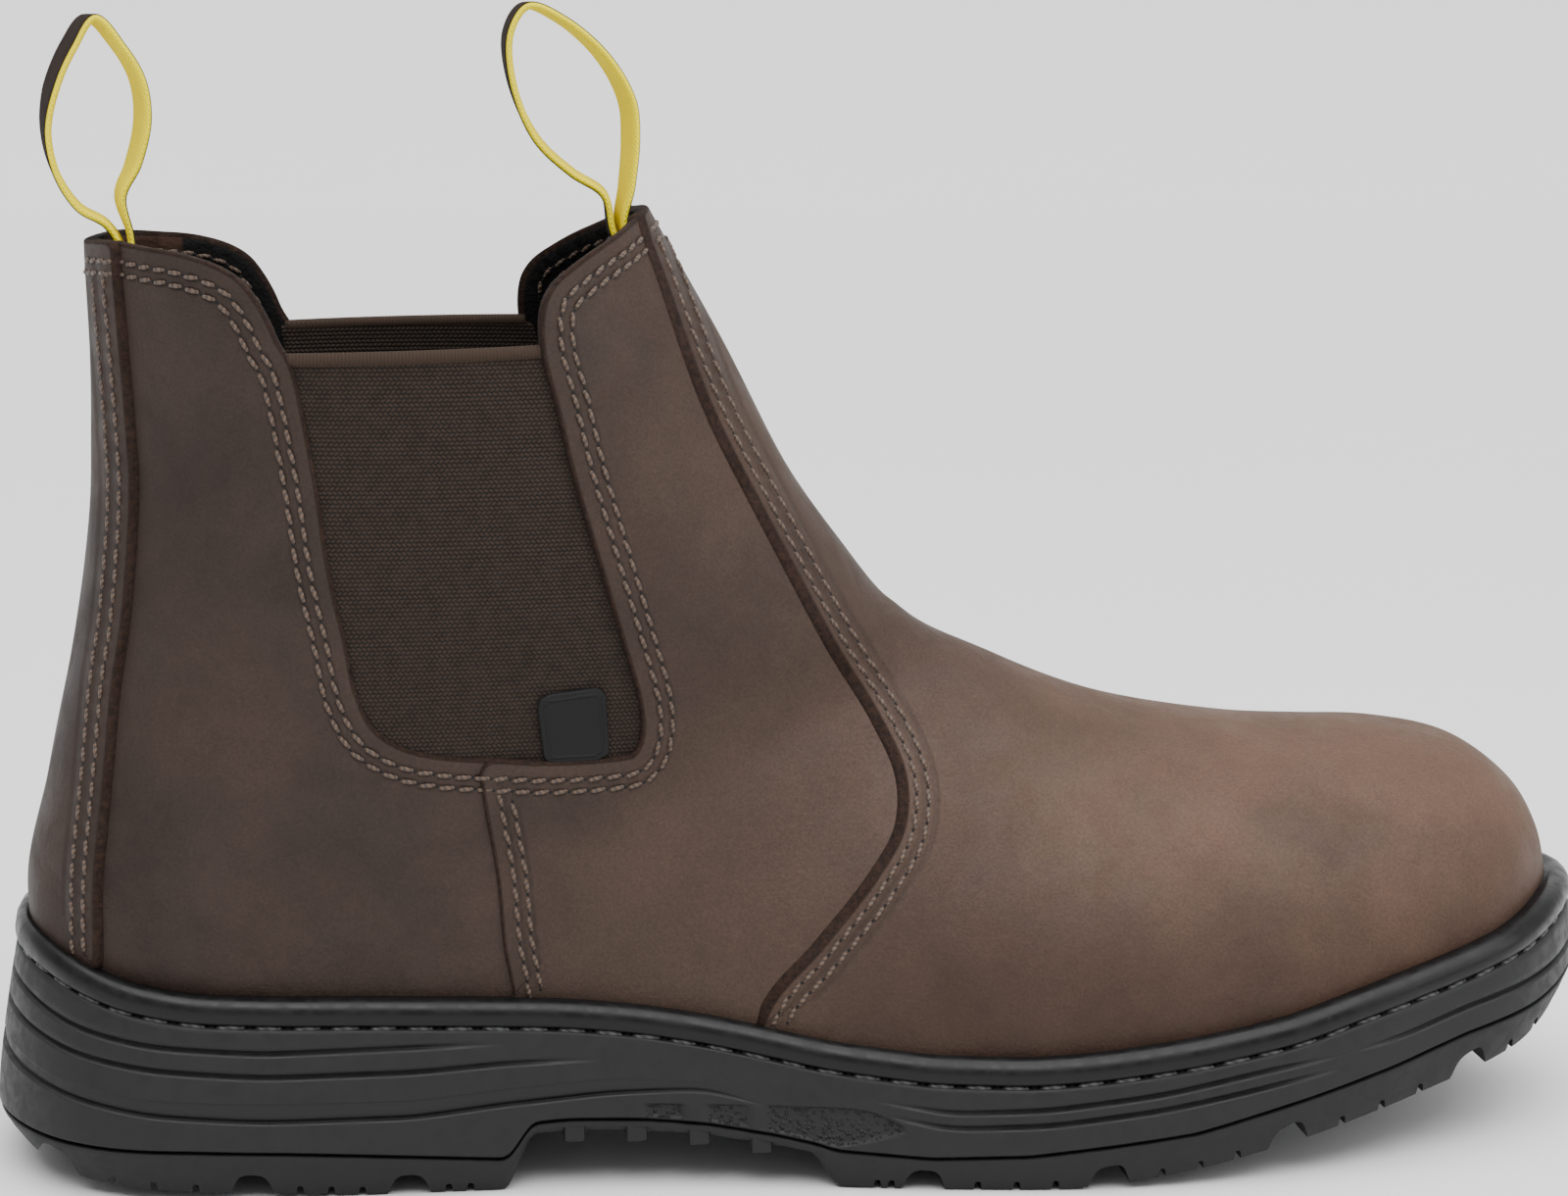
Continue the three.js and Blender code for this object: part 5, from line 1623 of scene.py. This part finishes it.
def insole_piece(material):
    x = RING[0]
    inset = -(LINING_BACK + PIECE_GAP) - 2.8
    bottom = footbed_z(x) + 1.5 * PIECE_GAP
    rings = [
        ring_at(inset - 0.3, bottom), ring_at(inset, bottom + 0.4), ring_at(inset, bottom + 3.2),
        ring_at(inset - 0.4, bottom + 3.8), ring_at(inset - 1.2, bottom + 4.0),
    ]
    points, faces = sole_solid(rings)
    return add_mesh("footbed", points, faces, material)


# Pull loops: columns x and z as shares, then the turn of the webbing in degrees
FRONT_LOOP = [
    [0.3968, 0.918, 0], [0.3829, 0.975, 2], [0.3865, 1.03, 6], [0.389, 1.09, 8], [0.387, 1.142, 8],
    [0.372, 1.2, 6], [0.346, 1.249, 4], [0.324, 1.267, 3], [0.313, 1.233, 2], [0.315, 1.165, -1],
    [0.33, 1.092, -4], [0.3515, 1.048, -4], [0.372, 1.018, -4], [0.377, 0.969, -2], [0.391, 0.912, 0],
]
REAR_LOOP = [
    [0.0717, 0.9065, 0], [0.0714, 0.95, 2], [0.0625, 0.984, 4], [0.046, 1.006, 4], [0.033, 1.05, 5],
    [0.0275, 1.105, 8], [0.0315, 1.16, 14], [0.043, 1.215, 16], [0.0565, 1.252, 14], [0.073, 1.215, 12],
    [0.084, 1.172, 13], [0.0865, 1.12, 14], [0.08, 1.062, 13], [0.0715, 1.02, 8], [0.0775, 0.965, 3],
    [0.0783, 0.9065, 0],
]


def loop_piece(name, rows, outer_sign, material):
    """A band of webbing with round selvedges that follows a loop in the boot's middle plane."""
    table = np.array(rows, float)
    path = smooth_line(table[:, :2], 0.5)
    path = spaced(path, 0.6)
    knots = table[:, 2]
    steps = np.diff(np.stack([along_last(table[:, 0]), above_rim(table[:, 1])], -1), axis=0)
    lengths = np.concatenate([[0], np.cumsum(np.hypot(*steps.T))])
    run = np.concatenate([[0], np.cumsum(np.linalg.norm(np.diff(path, axis=0), axis=1))])
    turn = np.radians(np.interp(run / run[-1], lengths / lengths[-1], knots))
    along = np.gradient(path, axis=0)
    along = np.stack([along[:, 0], 0 * along[:, 0], along[:, 1]], -1)
    along /= np.linalg.norm(along, axis=1, keepdims=True)
    across = np.stack([-np.sin(turn), np.cos(turn), 0 * turn], -1)
    deep = np.cross(along, across)
    deep /= np.linalg.norm(deep, axis=1, keepdims=True)
    middle = np.stack([path[:, 0], 0 * run, path[:, 1]], -1)
    half, thick = 6.0, 0.7
    section = []
    for t in np.linspace(-1, 1, 15):
        section.append((t * half, thick * (1 - 0.62 * max(0, (abs(t) - 0.88) / 0.12) ** 2)))
    section = section + [(half + 0.12, 0.0)] + [(u, -d) for u, d in section[::-1]] + [(-half - 0.12, 0.0)]
    rings, uv, face = [], [], []
    for i in range(len(middle)):
        rings.append(np.array([middle[i] + across[i] * u + deep[i] * d for u, d in section]))
        uv += [(u, run[i]) for u, d in section]
        face += [1.0 if (d * outer_sign > 0.2 and abs(u) < 5.35) else 0.0 for u, d in section]
    points, quads = stack_rings(rings)
    count = len(section)
    start = (len(rings) - 1) * count
    half_count = count // 2
    k = np.arange(1, half_count - 1)
    end = np.stack([k - 1, k, count - 2 - k, count - 1 - k], -1)
    tips = np.array([[0, count - 2, count - 1], [half_count - 2, half_count - 1, half_count]])
    faces = [
        np.concatenate([quads, end[:, ::-1], end + start]),
        np.concatenate([tips[:, ::-1], tips + start]),
    ]
    faces = faced_out(points, faces)
    return add_mesh(name, points, faces, material, floats={"brown_face": face}, uv=uv)


def cord_piece(name, side, material):
    """The rolled top edge of a gore."""
    ends = np.stack([along_last([0.17, 0.3285]), above_rim([GORE_TOP - 0.003, GORE_TOP + 0.003])], -1)
    at, normal = on_side(spaced(ends, 0.7), side, -2.75)
    run = np.gradient(at, axis=0)
    run /= np.linalg.norm(run, axis=1, keepdims=True)
    up = np.cross(normal, run)
    rings = []
    for p, n, u in zip(at, normal, up):
        turns = np.linspace(0, 2 * math.pi, 12, endpoint=False)
        rings.append(p + np.outer(np.cos(turns) * 1.2, n) + np.outer(np.sin(turns) * 1.3, u))
    points, quads = stack_rings(rings)
    last = (len(rings) - 1) * 12
    caps = [[11 - k, 10 - k, k + 1, k] for k in range(5)]
    caps += [[last + k, last + k + 1, last + 10 - k, last + 11 - k] for k in range(5)]
    faces = faced_out(points, [np.concatenate([quads, np.array(caps)])])
    return add_mesh(name, points, faces, material, floats={"rim": np.full(len(points), 5.0)})


# Where the stitches run
def leather_drop(x, z):
    """How far the leather's face lies below the vamp's, at points of the side view."""
    drop = np.where(SEAM.distance(x, z) > 0, FRONT_DROP, REAR_DROP)
    on_top = (VAMP.distance(x, z) > 0) | (STRIP.distance(x, z) > 0)
    return np.where(on_top, 0.0, drop)


def row_beside(outline, out, spacing=0.8):
    """The line that lies out millimetres inside an outline's region, without doublings."""
    line = spaced(outline.line, spacing)
    for side in (1, -1):
        moved = offset_line(line, side * out)
        clear = outline.distance(moved[:, 0], moved[:, 1])
        if np.median(clear) > 0:
            return moved[clear > out - 0.12]
    return line[:0]


def runs_of(line, keep):
    """Splits a line into its unbroken runs of kept points."""
    runs = []
    start = None
    for i, good in enumerate([*keep, False]):
        if good and start is None:
            start = i
        if not good and start is not None:
            if i - start > 3:
                runs.append(line[start:i])
            start = None
    return runs


def upper_strands(near, far):
    """Stitch lines of the upper on both sides: collar and gore, vamp, side seam, heel strip."""
    strands = []

    def lay(line, keep, lift=0.1):
        for run in runs_of(line, keep):
            for side in (-1, 1):
                at, normal = on_side(run, side, lift - leather_drop(run[:, 0], run[:, 1]))
                strands.append((at, normal))

    for out in (near, far):
        line = row_beside(OPENING, out)
        spread = side_place(line[:, 0], line[:, 1])[4]
        lay(line, spread > 0.02)
        line = row_beside(VAMP, out - 1.5)
        clear = OPENING.distance(line[:, 0], line[:, 1]) > far + 1.2
        lay(line, clear & (line[:, 1] > rim_z(line[:, 0]) + 0.6))
        line = row_beside(SEAM, out - 0.5)
        clear = OPENING.distance(line[:, 0], line[:, 1]) > far + 1.2
        lay(line, clear & (line[:, 1] > rim_z(line[:, 0]) + 0.6))
        line = row_beside(STRIP, out - 1.2)
        clear = OPENING.distance(line[:, 0], line[:, 1]) > far + 1.2
        spread = side_place(line[:, 0], line[:, 1])[4]
        lay(line, clear & (line[:, 1] > rim_z(line[:, 0]) + 0.6) & (spread > 0.02))
    return strands


def lining_strands(near, far):
    strands = []
    for out in (near, far):
        line = row_beside(OPENING, out)
        spread = side_place(line[:, 0], line[:, 1])[4]
        for run in runs_of(line, (spread > 0.1) & (line[:, 1] > above_rim(0.86))):
            at, normal = on_side(run, 1, -LINING_BACK - 0.1)
            strands.append((at, -normal))
            at, normal = on_side(run, -1, -LINING_BACK - 0.1)
            strands.append((at, -normal))
    return strands


def welt_strand():
    x, y, out_x, out_y = RING
    shelf = footbed_z(x)
    ring = ring_at(side_out(x, shelf, parting_z(x)) - 0.75, shelf + 0.02)
    normal = np.stack([out_x * 0.8, out_y * 0.8, 0 * x + 0.6], -1)
    ring = np.vstack([ring, ring[:1]])
    normal = np.vstack([normal, normal[:1]])
    return [(ring, normal)]


# Sizes and colours that a user can change
def shade(red, green, blue):
    """A given colour, as its linear value."""
    parts = [c / 255 for c in (red, green, blue)]
    return tuple(c / 12.92 if c < 0.04045 else ((c + 0.055) / 1.055) ** 2.4 for c in parts) + (1.0,)


def colour(label, about, *value):
    return bpy.props.FloatVectorProperty(
        name=label, description=about, subtype="COLOR", size=4, min=0, max=1, default=shade(*value)
    )


def length(label, about, value):
    return bpy.props.FloatProperty(name=label, description=about, unit="LENGTH", min=0.00005, default=value)


class BootColours(bpy.types.PropertyGroup):
    leather: colour("Leather", "Middle of the upper", 62, 48, 40)
    heel_leather: colour("Heel leather", "Cooler leather at the heel", 44, 34, 30)
    # Lighter leather over the toe, with a painted highlight over the toe and instep mixed in
    toe_leather_and_highlight: colour("Toe leather", "Lighter leather over the toe", 90, 68, 55)
    # Oily patches of the leather; the same colour also paints shade in the stitch grooves and the needle
    # holes
    dark_patch_and_shade: colour("Dark patches", "Oily patches and stitched borders", 35, 28, 26)
    light_patch: colour("Light patches", "Scuffed high spots", 98, 76, 62)
    raw_edge: colour("Cut edge", "Raw edges of the leather", 48, 31, 23)
    raw_dark: colour("Cut edge shade", "Dark fibres of the raw edges", 24, 15, 11)
    lining: colour("Lining", "Cloth inside the boot", 11, 10, 10)
    insole: colour("Footbed", "Cloth of the footbed", 18, 17, 16)
    elastic: colour("Elastic", "High loops of the gore", 54, 42, 34)
    elastic_dark: colour("Elastic shade", "Gaps between the gore's loops", 12, 8, 6)
    cord: colour("Gore cord", "Corded top edge of the gores", 58, 46, 38)
    webbing: colour("Webbing", "Yellow of the pull loops", 240, 222, 12)
    webbing_dark: colour("Webbing shade", "Yellow between the ribs", 206, 182, 6)
    webbing_brown: colour("Webbing face", "Brown outer face of the pull loops", 44, 34, 29)
    tab: colour("Tab", "Cloth tab on the outer gore", 14, 14, 15)
    thread: colour("Thread", "Thread of the upper", 88, 68, 53)
    thread_dark: colour("Thread shade", "Grooves of the thread's twist", 54, 42, 35)
    rubber: colour("Rubber", "Sole and bead", 27, 27, 28)


class BootSizes(bpy.types.PropertyGroup):
    stitch_pitch: length("Stitch pitch", "From one stitch to the next", 0.0035)
    stitch_length: length("Stitch length", "Length of one stitch", 0.003)
    stitch_width: length("Thread width", "Width of the thread", 0.00088)
    row_near: length("First row", "From the edge to the first row of stitches", 0.0030)
    row_far: length("Second row", "From the edge to the second row of stitches", 0.0052)
    # Size of the dark discs of painted shade that stand for the needle holes
    needle_hole_shade: length("Needle hole", "Radius of the holes between stitches", 0.0004)
    welt_pitch: length("Welt stitch pitch", "From one stitch of the sole to the next", 0.0068)


FINISHES = {}


def material_for(key):
    """Each finish is made once, from the colours as they stand."""
    colours = bpy.context.scene.boot_colours
    makers = {
        "leather": lambda: leather_finish(colours),
        "lining": lambda: lining_finish(colours),
        "elastic": lambda: elastic_finish(colours),
        "cord": lambda: cord_finish(colours),
        "thread": lambda: thread_finish("thread", colours.thread, colours.thread_dark),
        "sole_thread": lambda: thread_finish("sole_thread", shade(58, 58, 58), shade(18, 18, 18), 0.5),
        "hole": lambda: hole_shade_finish(colours),
        "tread": lambda: rubber_finish("tread_rubber", colours.rubber, 0.6, 0.00005),
        "side": lambda: rubber_finish("side_rubber", colours.rubber, 0.5, 0.00004),
        "bead": lambda: rubber_finish("welt_rubber", shade(10, 10, 11), 0.34, 0.00002),
        "webbing": lambda: webbing_finish(colours),
        "tab": lambda: tab_finish(colours),
        "insole": lambda: insole_finish(colours),
        "floor": floor_finish,
    }
    if key not in FINISHES:
        FINISHES[key] = makers[key]()
    return FINISHES[key]


class BOOT_OT_leather(bpy.types.Operator):
    """Lays the leather panels of the upper over each other"""
    bl_idname = "boot.leather"
    bl_label = "Leather panels"

    def execute(self, context):
        for name in ("rear_quarter", "front_quarter", "vamp", "heel_strip"):
            piece = leather_panel(name, material_for("leather"))
            settle(piece, "upper_leather", *(["upper"] if name == "vamp" else []))
        return {"FINISHED"}


class BOOT_OT_lining(bpy.types.Operator):
    """Lines the upper with black cloth"""
    bl_idname = "boot.lining"
    bl_label = "Lining"

    def execute(self, context):
        settle(lining_piece(material_for("lining")), "upper_leather")
        return {"FINISHED"}


class BOOT_OT_gores(bpy.types.Operator):
    """Sets the knitted elastic into both side windows"""
    bl_idname = "boot.gores"
    bl_label = "Elastic gores"

    def execute(self, context):
        for name, side in (("gore_outer", -1), ("gore_inner", 1)):
            settle(gore_piece(name + "_knit", side, material_for("elastic")), "gore_elastic", name)
            settle(cord_piece(name + "_cord", side, material_for("cord")), "gore_elastic")
        return {"FINISHED"}


class BOOT_OT_stitches(bpy.types.Operator):
    """Sews the upper's double rows, the lining's and the sole's"""
    bl_idname = "boot.stitches"
    bl_label = "Stitches"

    def execute(self, context):
        sizes = context.scene.boot_sizes
        tree = thread_tree()
        near, far = sizes.row_near / MM, sizes.row_far / MM
        thread, dark = material_for("thread"), material_for("hole")
        values = {
            "pitch": sizes.stitch_pitch, "length": sizes.stitch_length, "thickness": sizes.stitch_width,
            "height": sizes.stitch_width * 0.8, "hole": sizes.needle_hole_shade,
        }
        piece = sew("upper_stitches", upper_strands(near, far), tree, thread, dark, **values)
        settle(piece, "upper_leather")
        piece = sew("lining_stitches", lining_strands(near, far), tree, thread, dark, **values)
        settle(piece, "upper_leather")
        values = {
            "pitch": sizes.welt_pitch, "length": sizes.welt_pitch * 0.8, "thickness": 0.0011, "height": 0.001,
            "hole": 0.0005, "lean": 0.0,
        }
        piece = sew("sole_stitches", welt_strand(), tree, material_for("sole_thread"), dark, **values)
        settle(piece, "welt_rubber")
        return {"FINISHED"}


class BOOT_OT_sole(bpy.types.Operator):
    """Moulds the tread, the grooved side, the bead and the footbed"""
    bl_idname = "boot.sole"
    bl_label = "Sole"

    def execute(self, context):
        settle(outsole_piece(material_for("tread")), "tread_rubber", "outsole")
        settle(arch_bars_piece(material_for("tread")), "tread_rubber")
        settle(midsole_piece(material_for("side")), "side_rubber", "midsole")
        settle(welt_piece(material_for("bead")), "welt_rubber", "welt")
        settle(insole_piece(material_for("insole")), "insole_cloth", "insole")
        return {"FINISHED"}


class BOOT_OT_loops(bpy.types.Operator):
    """Weaves the two pull loops"""
    bl_idname = "boot.loops"
    bl_label = "Pull loops"

    def execute(self, context):
        webbing = material_for("webbing")
        settle(loop_piece("front_loop", FRONT_LOOP, -1, webbing), "loop_webbing", "pull_loop_front")
        settle(loop_piece("rear_loop", REAR_LOOP, 1, webbing), "loop_webbing", "pull_loop_rear")
        return {"FINISHED"}


class BOOT_OT_tab(bpy.types.Operator):
    """Puts the bare tab on the outer gore"""
    bl_idname = "boot.tab"
    bl_label = "Tab"

    def execute(self, context):
        settle(tab_piece(material_for("tab")), "tab_cloth", "label_tab")
        return {"FINISHED"}


def aim_at(thing, target):
    way = Vector(target) - thing.location
    thing.rotation_euler = way.to_track_quat("-Z", "Y").to_euler()


def soft_light(name, place, target, size, power):
    lamp = bpy.data.lights.new(name, "AREA")
    lamp.shape = "RECTANGLE"
    lamp.size, lamp.size_y = size
    lamp.energy = power
    thing = bpy.data.objects.new(name, lamp)
    bpy.context.scene.collection.objects.link(thing)
    thing.location = place
    aim_at(thing, target)
    return thing


class BOOT_OT_stage(bpy.types.Operator):
    """Adds the pale floor, the studio light and the camera at the photo's angle"""
    bl_idname = "boot.stage"
    bl_label = "Stage"

    def execute(self, context):
        scene = context.scene
        mesh = bpy.data.meshes.new("studio_floor")
        turns = np.linspace(0, math.pi / 2, 17)
        profile = [(-4.0, 0.0), *[(3.0 + 2 * math.sin(t), 2 - 2 * math.cos(t)) for t in turns], (5.0, 5.0)]
        points = [(x, y, z) for y, z in profile for x in (-6.0, 6.0)]
        mesh.from_pydata(points, [], [(k, k + 1, k + 3, k + 2) for k in range(0, len(points) - 2, 2)])
        mesh.polygons.foreach_set("use_smooth", [True] * len(mesh.polygons))
        floor = bpy.data.objects.new("studio_floor", mesh)
        scene.collection.objects.link(floor)
        mesh.materials.append(material_for("floor"))
        world = bpy.data.worlds.new("studio")
        world.use_nodes = True
        ground = world.node_tree.nodes["Background"]
        ground.inputs["Color"].default_value = (1.0, 1.0, 1.0, 1.0)
        ground.inputs["Strength"].default_value = 0.6
        scene.world = world
        middle = (0.0, 0.0, 0.09)
        soft_light("key", (-0.2, -0.9, 1.2), middle, (1.0, 0.7), 7.0)
        soft_light("fill", (0.95, -0.45, 0.6), middle, (0.6, 0.8), 4.0)
        sun = bpy.data.lights.new("overhead", "SUN")
        sun.energy = 4.0
        sun.angle = math.radians(70)
        overhead = bpy.data.objects.new("overhead", sun)
        scene.collection.objects.link(overhead)
        overhead.location = (0.05, -0.35, 1.5)
        aim_at(overhead, middle)
        camera = bpy.data.cameras.new("camera")
        camera.lens = 81.0
        camera.sensor_width = 36.0
        eye = bpy.data.objects.new("camera", camera)
        scene.collection.objects.link(eye)
        eye.location = Vector((np.array([-91.2, -658.9, 214.9]) + STAND) * MM)
        aim_at(eye, (np.array([-4.43, 0.0, 102.54]) + STAND) * MM)
        scene.camera = eye
        return {"FINISHED"}


class BOOT_PT_panel(bpy.types.Panel):
    """Lists the boot's pieces in the order in which they are made"""
    bl_label = "Side Gore Work Boot"
    bl_space_type = "VIEW_3D"
    bl_region_type = "UI"
    bl_category = "Boot"

    def draw(self, context):
        layout = self.layout
        for group in (context.scene.boot_sizes, context.scene.boot_colours):
            box = layout.box()
            for key in group.__annotations__:
                box.prop(group, key)
        for step in STEPS:
            layout.operator(step.bl_idname)


STEPS = [
    BOOT_OT_leather, BOOT_OT_lining, BOOT_OT_gores, BOOT_OT_stitches,
    BOOT_OT_sole, BOOT_OT_loops, BOOT_OT_tab, BOOT_OT_stage,
]


def register():
    for kind in [BootColours, BootSizes, *STEPS, BOOT_PT_panel]:
        bpy.utils.register_class(kind)
    bpy.types.Scene.boot_colours = bpy.props.PointerProperty(type=BootColours)
    bpy.types.Scene.boot_sizes = bpy.props.PointerProperty(type=BootSizes)


def unregister():
    del bpy.types.Scene.boot_sizes
    del bpy.types.Scene.boot_colours
    for kind in reversed([BootColours, BootSizes, *STEPS, BOOT_PT_panel]):
        bpy.utils.unregister_class(kind)


def main():
    register()
    bpy.ops.boot.leather()
    bpy.ops.boot.lining()
    bpy.ops.boot.gores()
    bpy.ops.boot.stitches()
    bpy.ops.boot.sole()
    bpy.ops.boot.loops()
    bpy.ops.boot.tab()
    bpy.ops.boot.stage()
    bpy.context.view_layer.update()


if __name__ == "__main__":
    main()
